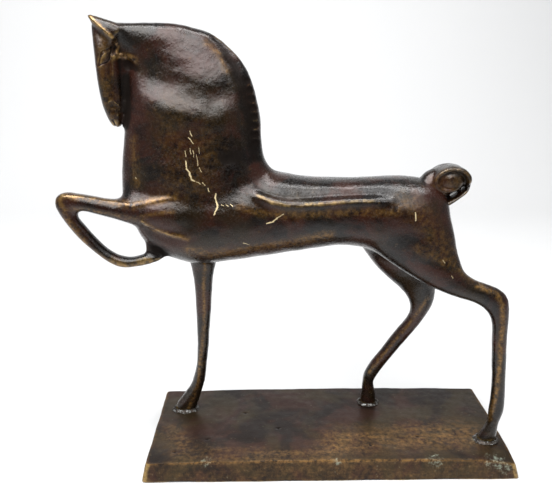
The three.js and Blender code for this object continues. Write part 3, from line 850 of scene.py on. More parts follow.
def casting(name, skin, keep):
    """A new object holding only the kept points of the skin, with its open seams capped."""
    mesh = skin.data.copy()
    drop_points(mesh, ~keep)
    with editing(mesh) as shell:
        open_edges = [e for e in shell.edges if e.is_boundary]
        bmesh.ops.holes_fill(shell, edges=open_edges, sides=0)
        for cap in [face for face in shell.faces if len(face.verts) > 4]:
            for edge in cap.edges:
                edge.smooth = False
        bmesh.ops.recalc_face_normals(shell, faces=shell.faces[:])
    mesh.name = name
    piece = bpy.data.objects.new(name, mesh)
    bpy.context.scene.collection.objects.link(piece)
    return piece


print("seams:", len(SEAMS))

# %% [markdown]
# The body skin gives every casting but the head, which comes from the finer skin. A piece is
# found by the point nearest to a spot that surely lies in it.

# %% The castings
castings = {}
for skin, seams in ((body_skin, list(SEAMS)), (head_skin, ["head"])):
    label = cut_apart(skin, seams)
    at = read_points(skin.data)
    for name, spot in INSIDE.items():
        if (name == "head") == (skin is head_skin):
            nearest = np.argmin(np.linalg.norm(at - spot, axis=1))
            castings[name] = casting(name + "_bronze", skin, label == label[nearest])
            print(name, len(castings[name].data.vertices), "points")
    bpy.data.objects.remove(skin)

# %% [markdown]
# ## The rolled tail
#
# The tail is a strip rolled up like a scroll and set on the end of the back. Its ribs come
# from a spiral: the outer edge winds round an oval that shrinks with every turn, the strip
# is a little thinner and narrower towards the middle, and the innermost end leaves a hollow.

# %% The scroll
TAIL_AT = np.array([77.0, 182.6])
TAIL_OVAL = np.array([14.4, 11.6])
TAIL_TURN = (-30, 450)
TAIL_PITCH = 5.2
TAIL_STRIP = 4.4
TAIL_VOXEL = 0.55
TAIL_SQUARENESS = 2.6


def scroll_ribs(count):
    """Ribs on a spiral: oval radius minus the pitch times the turns made so far."""
    turn = np.linspace(*np.radians(TAIL_TURN), count)
    turns = (turn - turn[0]) / (2 * np.pi)
    ray = np.stack([np.cos(turn), np.sin(turn)], axis=1)
    centre = TAIL_AT + turns[:, None] * [-1.3, -1.6]
    outer = centre + ray * (TAIL_OVAL - TAIL_PITCH * turns[:, None])
    inner = outer - ray * (TAIL_STRIP - 0.9 * turns[:, None])
    half = 10.8 - 1.5 * turns - 6 * bump(turns, 0.05) - 2.5 * bump(turns - turns[-1], 0.08)
    return np.column_stack([outer, inner, np.zeros(count), half])


TAIL_ROOT = np.array([
    [55, 168, 66, 160, 0, 9],
    [66, 169, 72, 161, 0, 9],
    [74, 169, 77.5, 165, 0, 9],
    [81, 172, 83.6, 169.4, 0, 8.6],
    [87.3, 176.6, 89.4, 174.4, 0, 7.6],
    [90.4, 180.8, 91.6, 179.6, 0, 5],
])
TAIL_DOCK = np.array([
    [48, 174, 68, 158, 0, 9],
    [55, 179, 72, 166, 0, 9],
    [61.5, 186.5, 78, 171, 0, 8.5],
    [67, 189.6, 80, 177, 0, 7],
])
TAIL_FLOOR = np.array([
    [66, 182, 66.5, 181, 0, 2],
    [70, 189, 70, 175, 0, 7.6],
    [77, 191, 77, 173, 0, 9.6],
    [84, 188.5, 84, 175, 0, 8.4],
    [89, 182.5, 88.5, 181, 0, 2],
])
tail = fused("tail_bronze", [
    loft(scroll_ribs(60), 160, 28, power=TAIL_SQUARENESS), loft(TAIL_ROOT, 40, 28),
    loft(TAIL_DOCK, 20, 24), loft(TAIL_FLOOR, 24, 28),
], TAIL_VOXEL, 0)
tail_rest = read_points(tail.data)
dents = 0.1 * waves(tail_rest, 6, 8)[:, None]
write_points(tail.data, tail_rest + read_normals(tail.data) * dents)
mark_wear(tail.data, 30, 0.35 * bump(tail_rest[:, 1] + 10, 3))
print("tail:", len(tail_rest), "points, right edge", round(tail_rest[:, 0].max(), 1))

# %% [markdown]
# ## The base
#
# The base is a shallow tray turned upside down. One profile, from the ceiling of the hollow
# down the inner wall, round the rim, up the outer wall and over to the middle of the top,
# is carried round a rectangle with rounded corners. Soft waves and a few pits keep it cast.

# %% The base tray
BASE_TOP = 15.0
BASE_ROOF = 10.5
HOLLOW_INSET = 10.5
FLARE = 3.4
CROWN = 1.4
CORNER_RADIUS = 1.6
FACE_ROWS = 60
TOP_ROWS = 100
HALF_X = (base_high.x - base_low.x) / MM / 2
HALF_Y = (base_high.y - base_low.y) / MM / 2
MIDDLE_Y = ((base_high.y + base_low.y) / 2 - ORIGIN[1]) / MM


def arc(centre, radius, start, stop, steps):
    """Points [inset, z] on a circle from one angle to another, in degrees."""
    angle = np.radians(np.linspace(start, stop, steps))
    return np.asarray(centre) + radius * np.column_stack([np.cos(angle), np.sin(angle)])


def rounded_rectangle(half_x, half_y, radius, steps):
    """Points round a rectangle with arcs at its corners, evenly spaced along the outline."""
    outline = []
    for turn, sx, sy in ((0, 1, 1), (90, -1, 1), (180, -1, -1), (270, 1, -1)):
        centre = (sx * (half_x - radius), sy * (half_y - radius))
        outline.append(arc(centre, radius, turn, turn + 90, 9))
    outline = np.vstack(outline + [outline[0][:1]])
    steps_made = np.linalg.norm(np.diff(outline, axis=0), axis=1)
    length = np.concatenate([[0], np.cumsum(steps_made)])
    where = np.linspace(0, length[-1], steps, endpoint=False)
    return np.column_stack([np.interp(where, length, outline[:, k]) for k in (0, 1)])


def base_profile():
    """Rows of [inset, z, share]: share 1 on the walls, falling to 0 at the middle of a face."""
    shrink = np.linspace(0.012, 1, FACE_ROWS)[:-1]
    widen = np.linspace(1, 0.012, TOP_ROWS)[1:]
    ceiling = np.column_stack([0 * shrink + HOLLOW_INSET, 0 * shrink + BASE_ROOF, shrink])
    inner = np.vstack([
        arc((HOLLOW_INSET, BASE_ROOF - 2.5), 2.5, 90, 180, 6), [[6.2, 4]],
        arc((4.6, 1.0), 0.8, 0, -90, 4),
    ])
    outer = np.vstack([
        arc((1.1, 1.0), 0.8, 270, 180, 5),
        np.column_stack([np.linspace(0.7, FLARE - 0.5, 8), np.linspace(3, BASE_TOP - 2.2, 8)]),
        arc((FLARE + 1.0, BASE_TOP - 1.3), 1.0, 165, 90, 7),
    ])
    top = np.column_stack([0 * widen + FLARE + 1.0, 0 * widen + BASE_TOP - 0.3, widen])
    walls = np.vstack([inner, outer])
    return np.vstack([ceiling, np.column_stack([walls, np.ones(len(walls))]), top])


def base_grid(sides=520):
    """Grid of the tray: at each profile row the rectangle shrinks by the inset and the share."""
    unit = rounded_rectangle(HALF_X, HALF_Y, CORNER_RADIUS, sides)
    rows = []
    for inset, z, share in base_profile():
        inset_y = 0.3 + inset * 0.25 if inset < 4.5 else inset * 0.9
        shrunk = np.array([HALF_X - inset, HALF_Y - inset_y]) * share
        ring = unit / [HALF_X, HALF_Y] * shrunk
        height = np.full(sides, z - SOLE)
        rows.append(np.column_stack([ring[:, 0], ring[:, 1] + MIDDLE_Y, height]))
    return np.stack(rows)


grid = base_grid()
base = mesh_object("base_bronze", grid.reshape(-1, 3), tube_faces(*grid.shape[:2]))
print("tray:", grid.shape[:2], "rows and sides")

# %% [markdown]
# Each hoof stands over a stud, so the tray is drilled where the CAD's three studs are.

# %% Stud holes
HOOVES = {"far_fore": FAR_FORE, "near_hind": NEAR_HIND, "far_hind": FAR_HIND}
for hoof in HOOVES:
    low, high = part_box(hoof + "_stud")
    bpy.ops.mesh.primitive_cylinder_add(
        vertices=32, radius=(high.x - low.x) / 2 + 0.3 * MM, depth=20 * MM,
        location=((low.x + high.x) / 2, (low.y + high.y) / 2, (BASE_TOP - 2) * MM),
    )
    drill = bpy.context.object
    hole = base.modifiers.new("hole", "BOOLEAN")
    hole.operation, hole.object, hole.solver = "DIFFERENCE", drill, "EXACT"
    applied(base)
    bpy.data.objects.remove(drill)
print("drilled:", len(HOOVES), "holes,", len(base.data.vertices), "points")

# %% [markdown]
# The drilled tray is still a perfect block. Soft waves and pits go in along the normals, the
# outside is crowned a little, the foot waves, and the right front corner is worn down.

# %% Cast and worn
PITS = np.array([[-107, -34], [-86, -20], [-35, -8], [64, -20], [29, -30], [-60, 12]])
CORNER_WEAR = 4.2
base.data.shade_smooth()
flat_rest = read_points(base.data)
facing = read_normals(base.data)
level = flat_rest[:, 2] + SOLE
upward = step_up(facing[:, 2], 0.4, 0.9) * step_up(flat_rest[:, 2], -6, -2)
frontward = step_up(-facing[:, 1], 0.5, 0.9)
pits = np.max([bump(np.linalg.norm(flat_rest[:, :2] - p, axis=1), 0.9) for p in PITS], axis=0)
outward = 0.2 * waves(flat_rest, 34, 11) + 0.04 * waves(flat_rest, 7, 12) - 0.2
outward -= 0.9 * pits * upward
foot_waves = np.clip(waves(flat_rest * [1, 0.6, 0], 70, 13), 0, 2)
hollow = (np.abs(flat_rest[:, 0]) < HALF_X - 4.5) & (np.abs(flat_rest[:, 1]) < HALF_Y - 2.2)
hollow &= level < BASE_ROOF + 0.8
base_rest = flat_rest + facing * outward[:, None]
base_rest[:, 2] += 0.5 * foot_waves * bump(level, 3)
base_rest[:, 2] += CROWN * (1 - (flat_rest[:, 0] / HALF_X) ** 2) * level / BASE_TOP * ~hollow
corner_gap = np.hypot((base_rest[:, 0] - 130) / 19, (base_rest[:, 1] + 52) / 17)
base_rest[:, 2] -= CORNER_WEAR * bump(corner_gap, 1) * (base_rest[:, 2] + SOLE) / BASE_TOP
write_points(base.data, base_rest)
print("base:", len(base_rest), "points, foot at", round(base_rest[:, 2].min() + SOLE, 2), "mm")

# %% [markdown]
# The gold of the base: a broad band across the top, a fainter one along its front left, and
# brass where the edges are rubbed.

# %% Gold of the base
plan = flat_rest[:, [0, 2, 1]]
gild = bump(to_path(plan, [(10, -26), (50, -21), (100, -18)]), 15)
gild += 0.6 * bump(to_path(plan, [(-112, -10), (-100, -36), (-60, -40), (0, -42)]), 9)
gild *= upward
below_top = level - BASE_TOP + 0.6
front_edge = np.hypot(flat_rest[:, 1] + HALF_Y - 1.6, below_top)
side_edge = np.hypot(np.abs(flat_rest[:, 0]) - HALF_X + 4.2, below_top)
gild += 0.3 * frontward + 1.6 * bump(front_edge, 1.0) + 0.7 * bump(side_edge, 1.0)
mark_wear(base.data, 10, gild)
set_attribute(base.data, "filed", frontward)
print("golden share of the base:", round(float(np.mean(gild > 0.5)), 3))

# %% [markdown]
# ## Solder and plugs
#
# Three hooves stand on the base in a collar of solder that was never cleaned up: a lumpy
# skirt round each sole. The core holes in the back and the neck are filled with plugs,
# small rivets hammered flush and still just visible as rings.

# %% Solder collars
def solder_collar(ribs, seed, sides=96, rows=14):
    """Skirt round the sole: radius falls from foot to top like a cove, height and foot wander."""
    sole = ribs[-1]
    middle = np.array([(sole[0] + sole[2]) / 2, sole[4], -0.5])
    middle[2] += CROWN * (1 - (middle[0] / HALF_X) ** 2)
    half = np.array([abs(sole[2] - sole[0]) / 2, sole[5]])
    angle = np.linspace(0, 2 * np.pi, sides, endpoint=False)
    ray = np.column_stack([np.cos(angle), np.sin(angle), np.zeros(sides)])
    rise = np.linspace(0, 1, rows)[:, None]
    wander = waves(ray * 9, 5, seed)[None]
    reach = 0.3 + (1.75 + 0.35 * wander) * (1 - rise) ** 1.8
    ring = half * np.abs(ray[None, :, :2]) ** (2 / SQUARENESS) * np.sign(ray[None, :, :2])
    flat = ring + reach[..., None] * ray[None, :, :2]
    height = rise * (1.45 + 0.3 * wander)
    return np.concatenate([flat, height[..., None]], axis=2) + middle


FIRST_SEED = 21
collars = {}
for seed, (name, ribs) in enumerate(HOOVES.items(), FIRST_SEED):
    skirt = solder_collar(ribs, seed)
    inside = skirt[::-1].copy()
    inside[..., :2] = inside[..., :2] * 0.9 + skirt.mean(axis=(0, 1))[:2] * 0.1
    ring = np.concatenate([skirt, inside])
    faces = tube_faces(*ring.shape[:2], closed_rings=True)
    collars[name] = mesh_object(name + "_collar", ring.reshape(-1, 3), faces)
print("collars:", len(collars))

# %% [markdown]
# A plug is a short puck turned to face along the skin's own normal, found by shooting a ray
# at the skin from the side.

# %% Plugs
PLUG_DEPTH = 3.2
SHOULDER = 0.25
FLUSH = 0.05


def plug_disc(name, skin, x, z, side, radius=1.55, sides=40):
    """A puck of revolution on the skin: flat face, rounded shoulder, straight wall, flat back."""
    start = Vector(place([x, side * 40, z]))
    _, at, normal, _ = skin.ray_cast(start, Vector((0, -side, 0)))
    profile = np.vstack([
        [[0.02, 0.0]], arc((radius - SHOULDER, -SHOULDER), SHOULDER, 90, 0, 5),
        [[radius, -PLUG_DEPTH], [0.02, -PLUG_DEPTH]],
    ])
    angle = np.linspace(0, 2 * np.pi, sides, endpoint=False)
    disc = np.stack([
        profile[:, :1] * np.cos(angle), profile[:, :1] * np.sin(angle),
        np.repeat(profile[:, 1:], sides, axis=1),
    ], axis=2).reshape(-1, 3)
    turned = disc @ np.array(Vector(normal).to_track_quat("Z", "Y").to_matrix()).T
    centred = turned + drawn([at])[0] - np.array(normal) * FLUSH
    return mesh_object(name, centred, tube_faces(len(profile), sides))


plugs = {}
# Painted shade on the plugs: the neck plugs are painted black all through, standing for the shade
# in their dent, and the back plugs a little darker.
for name, skin_name, spot, plug_shade in (
    ("back_plug", "trunk_casting", BACK_PLUG, 0.2), ("neck_plug", "neck_casting", NECK_PLUG, 1.0),
):
    for flank, side in (("near", -1), ("far", 1)):
        node = flank + "_" + name
        plugs[node] = plug_disc(node + "_rivet", castings[skin_name], *spot, side)
        mesh = plugs[node].data
        set_attribute(mesh, "wax_and_shade", np.full(len(mesh.vertices), plug_shade))
print("plugs:", sorted(plugs))

# %% [markdown]
# ## Shader building blocks
#
# The finishes share a few node groups. `add` makes a node and feeds its sockets, either with
# a constant or with another node's output. The smaller helpers find their node tree from the
# sockets they are given, so that each group below reads like a recipe.

# %% Node helpers
def is_socket(value):
    """True for another node's output, false for a constant."""
    return isinstance(value, bpy.types.NodeSocket)


def feed(node, inputs):
    """Links sockets to the node's inputs, or sets them to constants."""
    for socket, value in inputs.items():
        if is_socket(value):
            node.id_data.links.new(value, node.inputs[socket])
        else:
            node.inputs[socket].default_value = value
    return node


def add(tree, kind, inputs=None, **settings):
    """A shader node with its settings, its sockets fed by constants or by other sockets."""
    node = tree.nodes.new("ShaderNode" + kind)
    for key, value in settings.items():
        setattr(node, key, value)
    return feed(node, inputs or {})


def tree_of(*values):
    """The node tree that the first socket among the values belongs to."""
    return next(value.id_data for value in values if is_socket(value))


def noise(at, size, detail_level=4, rough=0.55, distort=0.0):
    """Fractal noise with blobs about `size` mm across."""
    return add(tree_of(at), "TexNoise", {
        "Vector": at, "Scale": 1 / (size * MM), "Detail": detail_level,
        "Roughness": rough, "Distortion": distort,
    }).outputs["Fac"]


def ramp(value, low, high, to_low=0.0, to_high=1.0):
    """Smooth change from one number to another while value runs from low to high."""
    sockets = {0: value, 1: low, 2: high, 3: to_low, 4: to_high}
    return add(tree_of(value), "MapRange", sockets, interpolation_type="SMOOTHSTEP").outputs[0]


def blend(share, one, two):
    """Mixes two colours."""
    return add(tree_of(share), "Mix", {0: share, 6: one, 7: two}, data_type="RGBA").outputs[2]


def calc(how, one, two):
    """Arithmetic on two numbers, kept between 0 and 1 when how ends in a star."""
    tree, clamp = tree_of(one, two), how.endswith("*")
    made = add(tree, "Math", {0: one, 1: two}, operation=how.strip("*"), use_clamp=clamp)
    return made.outputs[0]


def vector(how, one, two=(0, 0, 0)):
    """Arithmetic on two vectors. Lengths, distances and dot products come out as numbers."""
    made = add(tree_of(one, two), "VectorMath", {0: one, 1: two}, operation=how)
    return made.outputs["Value" if how in ("LENGTH", "DISTANCE", "DOT_PRODUCT") else "Vector"]


def mapped(at, **settings):
    """Coordinates turned and stretched by a Mapping node."""
    return add(tree_of(at), "Mapping", {"Vector": at, **settings}).outputs[0]


def group(name, inputs, outputs):
    """An empty node group with its sockets, the outputs of its inlet, and its outlet node."""
    tree = bpy.data.node_groups.new(name, "ShaderNodeTree")
    for way, sockets in (("INPUT", inputs), ("OUTPUT", outputs)):
        for title, kind in sockets.items():
            tree.interface.new_socket(title, in_out=way, socket_type="NodeSocket" + kind)
    given = tree.nodes.new("NodeGroupInput").outputs
    return tree, given, tree.nodes.new("NodeGroupOutput")


def use(tree, shared, inputs):
    """A copy of a shared group, with its sockets fed."""
    node = tree.nodes.new("ShaderNodeGroup")
    node.node_tree = shared
    return feed(node, inputs).outputs


def rgb(red, green, blue):
    """A colour with full alpha."""
    return (red, green, blue, 1)


print("node helpers ready")

# %% [markdown]
# ## Scratches
#
# A stroke is the distance to a straight line between two points of the side view, jittered
# by noise so that its edges are ragged. The scratches on the near side are a dozen of them,
# cut through the patina to bright metal.

# %% Stroke and scratches
PLACED = {"Position": "Vector"}
MASK = {"Mask": "Float"}
stroke, given, outlet = group(
    "stroke", {**PLACED, "Start": "Vector", "End": "Vector", "Width": "Float"}, MASK,
)
run = vector("SUBTRACT", given["End"], given["Start"])
offset = vector("SUBTRACT", given["Position"], given["Start"])
share = calc("DIVIDE*", vector("DOT_PRODUCT", offset, run), vector("DOT_PRODUCT", run, run))
away = vector("DISTANCE", offset, vector("MULTIPLY", run, share))
edge = ramp(calc("DIVIDE", away, given["Width"]), 0.35, 1.0)
feed(outlet, {"Mask": calc("SUBTRACT*", 1.0, edge)})

SCRATCHES = [
    (-91, 229, -90, 226, 0.7), (-92, 225, -89, 221, 0.55), (-94.5, 210, -94, 205, 0.8),
    (-94, 205, -92.5, 203, 1), (-92.5, 203, -91, 198, 1.2), (-91, 198, -89, 197, 0.9),
    (-88, 196.6, -85.5, 195.2, 0.5), (-84, 196, -82.5, 194, 0.7), (-80.5, 192, -80, 190, 0.7),
    (-75.5, 188.5, -76, 186, 0.9), (-76, 186, -75, 182.5, 1), (-75, 182.5, -74.5, 180, 1),
    (-74.5, 180, -77, 175, 0.9), (-42, 169, -38, 170, 0.9), (-38, 170, -35, 172.5, 0.9),
    (-35, 172.5, -31, 175, 0.6), (-72, 181.6, -70.5, 180.8, 0.5), (-69, 181.5, -67.5, 180.4, 0.5),
    (-66, 181.8, -64.5, 180.3, 0.5), (-94.6, 216.5, -94.2, 212.5, 0.45),
    (-91.5, 218, -91, 214.5, 0.5), (-89.5, 217, -89, 212.5, 0.4), (-87.5, 214, -86.5, 207, 0.4),
    (-85.8, 219, -85.5, 215, 0.35), (-86, 206, -84.5, 203, 0.4), (-58, 155, -54, 153.5, 0.4),
    (57, 175, 57.3, 170, 0.9), (77.5, 142, 79, 140, 0.5), (84, 131, 85, 129.5, 0.5),
    (-129.2, 198.3, -128.8, 197.6, 0.6),
]
SIGHT_SHIFT = 0.055
WIDTH_SHARE = 0.62
SHAKE_FINENESS = 700
SHAKE = 1.1 * MM
scratches, given, outlet = group("scratches", PLACED, MASK)
shaken = {"Vector": given["Position"], "Scale": SHAKE_FINENESS, "Detail": 2}
shake = add(scratches, "TexNoise", shaken).outputs["Color"]
shake = vector("SUBTRACT", shake, (0.5, 0.5, 0.5))
shake = vector("MULTIPLY", shake, (SHAKE, SHAKE, SHAKE))
flat = vector("ADD", vector("MULTIPLY", given["Position"], (1, 0, 1)), shake)
mask = 0.0
for x0, z0, x1, z1, width in SCRATCHES:
    ends = np.array([[x0, 0, z0 - SOLE], [x1, 0, z1 - SOLE]])
    ends = place(ends + (VIEWER - ends) * SIGHT_SHIFT) * [1, 0, 1]
    mark = use(scratches, stroke, {
        "Position": flat, "Start": ends[0], "End": ends[1], "Width": width * WIDTH_SHARE * MM,
    })["Mask"]
    mask = calc("MAXIMUM", mark, mask)
near_side = add(scratches, "SeparateXYZ", {0: given["Position"]}).outputs["Y"]
near_side = calc("LESS_THAN", near_side, float(ORIGIN[1]) - 4 * MM)
feed(outlet, {"Mask": calc("MULTIPLY", mask, near_side)})
print("strokes:", len(SCRATCHES))

# %% [markdown]
# ## Patina
#
# Bronze patina is never one colour. Here near-black brown, red-brown and olive drift into
# each other in large soft clouds, golden brown comes through where `gild` says so, the
# ridges are rubbed to brass, and the hollows keep black wax; the same black also paints
# shade into recesses and under overhangs. Fine scraping marks and grain go into the height
# that bumps the surface.

# %% The patina group
BRASS = rgb(0.38, 0.25, 0.09)
BLACK_WAX_AND_SHADE = rgb(0.008, 0.006, 0.005)
patina, given, outlet = group(
    "patina",
    {**PLACED, **dict.fromkeys(("Wear", "WaxAndShade", "Gild"), "Float"),
     **dict.fromkeys(("Dark", "Red", "Olive", "Gold"), "Color")},
    {"Color": "Color", "Roughness": "Float", "Height": "Float"},
)
at = given["Position"]
freckles = noise(at, 3.2, 5, 0.7)
tone = blend(ramp(noise(at, 26, 5, 0.6, 0.6), 0.42, 0.62), given["Dark"], given["Red"])
olive = ramp(noise(at, 41, 4, 0.55, 1.0), 0.46, 0.64)
gilding = calc("MULTIPLY*", given["Gild"], ramp(freckles, 0.32, 0.72))
specks = ramp(freckles, 0.58, 0.76)
rubbed = calc("MULTIPLY*", ramp(given["Wear"], 0.35, 1.0), ramp(freckles, 0.30, 0.60))
# Painted shade and black wax: the patina turns black in the hollows and where shade is painted.
deep = ramp(given["WaxAndShade"], 0.15, 0.9)
for cover, most, colour in (
    (olive, 0.7, given["Olive"]), (gilding, 1.0, given["Gold"]), (specks, 0.16, given["Gold"]),
    (rubbed, 0.7, BRASS), (deep, 0.9, BLACK_WAX_AND_SHADE),
):
    tone = blend(calc("MULTIPLY", cover, most), tone, colour)
sheen = ramp(noise(at, 5, 4, 0.6), 0.35, 0.65, 0.27, 0.42)
sheen = calc("ADD", sheen, calc("MULTIPLY", given["WaxAndShade"], 0.25))
scraped = mapped(at, Rotation=(0.3, 0.5, 0.4), Scale=(1, 3.5, 0.8))
height = 0.0
for texture, strength in (
    (noise(at, 1.6, 3, 0.6), 0.6), (noise(at, 0.7, 3, 0.6), 0.25),
    (noise(scraped, 3.2, 4, 0.7), 0.5),
):
    height = calc("ADD", calc("MULTIPLY", texture, strength), height)
feed(outlet, {"Color": tone, "Roughness": sheen, "Height": height})


def start_material(name):
    """A node material with a Principled shader, and the position every texture reads."""
    made = bpy.data.materials.new(name)
    made.use_nodes = True
    tree = made.node_tree
    position = add(tree, "TexCoord").outputs["Object"]
    return made, tree, tree.nodes["Principled BSDF"], position


def attribute(tree, name):
    """Reads a number stored on the mesh."""
    return add(tree, "Attribute", attribute_name=name).outputs["Fac"]


def patinated(tree, position, gild, dark, red, olive, gold):
    """The patina group on this mesh's own wear, wax and painted shade, in the four given colours.
    """
    return use(tree, patina, {
        "Position": position, "Wear": attribute(tree, "wear"), "WaxAndShade": attribute(tree, "wax_and_shade"),
        "Gild": gild, "Dark": dark, "Red": red, "Olive": olive, "Gold": gold,
    })


print("patina group:", len(patina.nodes), "nodes")

# %% [markdown]
# The figure wears the patina under a clear coat of wax, which the hollows have lost.

# %% Figure bronze
figure_bronze, tree, shader, position = start_material("figure_bronze")
gild = attribute(tree, "gild")
skin = patinated(
    tree, position, gild, dark=rgb(0.0035, 0.002, 0.0015), red=rgb(0.026, 0.007, 0.0035),
    olive=rgb(0.015, 0.009, 0.003), gold=rgb(0.20, 0.105, 0.026),
)
cuts = use(tree, scratches, {"Position": position})["Mask"]
bumps = add(tree, "Bump", {"Strength": 0.9, "Distance": 0.25 * MM, "Height": skin["Height"]})
feed(shader, {
    "Base Color": blend(cuts, skin["Color"], rgb(0.62, 0.50, 0.29)),
    "Metallic": calc("ADD*", 0.4, calc("MULTIPLY", gild, 0.3)),
    "Roughness": skin["Roughness"], "Normal": bumps.outputs[0], "Specular IOR Level": 0.05,
    "Coat Weight": calc("SUBTRACT*", 0.9, attribute(tree, "wax_and_shade")),
    "Coat Normal": bumps.outputs[0], "Coat IOR": 1.46,
    "Coat Roughness": ramp(noise(position, 1.4, 3, 0.7), 0.35, 0.65, 0.12, 0.32),
})
print("figure bronze:", len(tree.nodes), "nodes")

# %% [markdown]
# The base has the same patina, a little lighter and duller, with one golden band across the
# top, brass along the front edge, and verdigris bloom at the front right corner and round
# the hooves. The bloom is a pale blue-green crust that breaks up with fine noise.

# %% Verdigris and the base bronze
verdigris, given, outlet = group(
    "verdigris", {**PLACED, "Centre": "Vector", "Reach": "Float"}, MASK,
)
gap = calc("DIVIDE", vector("DISTANCE", given["Position"], given["Centre"]), given["Reach"])
fade = calc("SUBTRACT", 1.0, ramp(gap, 0.3, 1.0))
crust = calc("ADD", noise(given["Position"], 3.2, 6, 0.8), calc("MULTIPLY", fade, 0.16))
feed(outlet, {"Mask": calc("MULTIPLY", ramp(crust, 0.62, 0.80), ramp(fade, 0.0, 0.5))})

base_bronze, tree, shader, position = start_material("base_bronze")
brushed = mapped(position, Scale=(0.12, 1, 1))
streaks = ramp(noise(brushed, 5, 4, 0.6), 0.3, 0.7, 0.4, 1.3)
skin = patinated(
    tree, position, calc("MULTIPLY", attribute(tree, "gild"), streaks),
    dark=rgb(0.012, 0.007, 0.005), red=rgb(0.036, 0.015, 0.010),
    olive=rgb(0.038, 0.026, 0.011), gold=rgb(0.21, 0.112, 0.036),
)
BLOOM = [
    ((112, -46, 14), 13), ((118, -47, 9), 9), ((4, -46.5, 15), 5), ((108, -24, 15), 11),
    ((36, 24, 15), 8), ((-108, 18, 15), 10), ((-84, -45, 15), 7), ((70, -45, 15), 9),
]
green = 0.0
for centre, reach in BLOOM:
    at = place([centre[0], centre[1], centre[2] - SOLE])
    patch = use(tree, verdigris, {"Position": position, "Centre": at, "Reach": reach * MM})["Mask"]
    green = calc("MAXIMUM", patch, green)
crumbs = calc("MULTIPLY", ramp(noise(position, 1.6, 3), 0.66, 0.76), 0.35)
green = calc("MAXIMUM", green, crumbs)
chalk = blend(noise(position, 2.5, 3), rgb(0.10, 0.15, 0.11), rgb(0.34, 0.36, 0.29))
combed = mapped(position, Scale=(1, 0.2, 0.07))
marks = calc("MULTIPLY", noise(combed, 1.1, 3, 0.6), attribute(tree, "filed"))
height = calc("ADD", skin["Height"], calc("MULTIPLY", marks, 5.0))
bumps = add(tree, "Bump", {"Strength": 0.45, "Distance": 0.25 * MM, "Height": height})
feed(shader, {
    "Base Color": blend(calc("MULTIPLY", green, 0.75), skin["Color"], chalk),
    "Metallic": calc("SUBTRACT*", 0.6, calc("MULTIPLY", green, 0.5)),
    "Roughness": calc(
        "ADD*", calc("ADD", skin["Roughness"], 0.06), calc("MULTIPLY", green, 0.3),
    ),
    "Normal": bumps.outputs[0], "Specular IOR Level": 0.25,
    "Coat Weight": 0.1, "Coat Roughness": 0.3,
})
print("base bronze:", len(tree.nodes), "nodes,", len(BLOOM), "patches of bloom")

# %% [markdown]
# The hidden pieces get simple finishes: dull steel for the studs, nuts and washers, grey
# solder gone dark brown in patches, and dry clay for the cores.

# %% Steel, solder and core
fixing_steel, tree, shader, position = start_material("fixing_steel")
rust = ramp(noise(position, 3, 5, 0.7), 0.5, 0.7)
feed(shader, {
    "Base Color": blend(rust, rgb(0.50, 0.51, 0.52), rgb(0.20, 0.09, 0.04)),
    "Metallic": calc("SUBTRACT", 1.0, calc("MULTIPLY", rust, 0.6)),
    "Roughness": calc("ADD", 0.35, calc("MULTIPLY", rust, 0.4)),
})
soft_solder, tree, shader, position = start_material("soft_solder")
lumps = noise(position, 1.6, 4, 0.7)
bumps = add(tree, "Bump", {"Strength": 0.6, "Distance": 0.3 * MM, "Height": lumps})
old = ramp(noise(position, 2.5, 5, 0.7), 0.30, 0.52)
feed(shader, {
    "Base Color": blend(old, rgb(0.34, 0.35, 0.34), rgb(0.024, 0.017, 0.012)),
    "Metallic": 0.6, "Roughness": ramp(lumps, 0.3, 0.7, 0.3, 0.6), "Normal": bumps.outputs[0],
})
fired_core, tree, shader, position = start_material("fired_core")
dust = noise(position, 2, 6, 0.7)
bumps = add(tree, "Bump", {"Strength": 0.5, "Distance": 0.4 * MM, "Height": dust})
feed(shader, {
    "Base Color": blend(dust, rgb(0.55, 0.46, 0.34), rgb(0.80, 0.74, 0.64)),
    "Roughness": 0.95, "Normal": bumps.outputs[0],
})
print("finishes:", [made.name for made in bpy.data.materials])

# %% [markdown]
# ## Dressing the pieces
#
# Each piece rides on the one body, hides the CAD node it stands in for, and gets its finish. The
# studs, nuts, washers and cores are the CAD's own meshes, and only get their materials here.

# %% Ride, replace, slot
def dress(piece, node, material):
    """Hands a piece to the frame: it rides on the one body, stands for its node, wears its slot."""
    piece.data.materials.clear()
    piece.data.materials.append(material)
    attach(piece, "root")
    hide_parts(node)


for node, piece in {**castings, **plugs, "tail_knot": tail}.items():
    dress(piece, node, figure_bronze)
dress(base, "base_plate", base_bronze)
for name, piece in collars.items():
    dress(piece, name + "_solder", soft_solder)

HIDDEN = {"core": fired_core, **dict.fromkeys(("stud", "washer", "nut"), fixing_steel)}
for name, shown in frame["nodes"].items():
    finish = HIDDEN.get(name.rsplit("_", 1)[-1])
    if finish:
        shown.data.materials.clear()
        shown.data.materials.append(finish)
print("dressed:", len(castings) + len(plugs) + len(collars) + 2, "pieces")

# %% [markdown]
# ## The table top studio
#
# A pale sweep serves as floor and backdrop. A narrow light overhead draws the long highlight
# along the back, a window high on the left and a dim ceiling light the neck, and the sweep
# bounces light up under the belly. The paper is painted grey towards the viewer, painted shade
# for the dim side of the room, which leaves the flanks deep, and a black flag behind the
# viewer, which no view shows, keeps the neck dark.

# %% Floor and flag
def sweep_grid():
    """Profile swept across: level floor, a quarter arc, then a wall."""
    profile = np.vstack([
        [[-2600, 0], [-400, 0], [300, 0]], arc((700, 500), 500, 270, 360, 24), [[1200, 1400]],
    ])
    x = np.linspace(-2200, 2200, 12)
    y, z = (np.repeat(profile[:, [k]], len(x), axis=1) for k in (0, 1))
    return np.stack([np.broadcast_to(x, y.shape), y, z], axis=2)


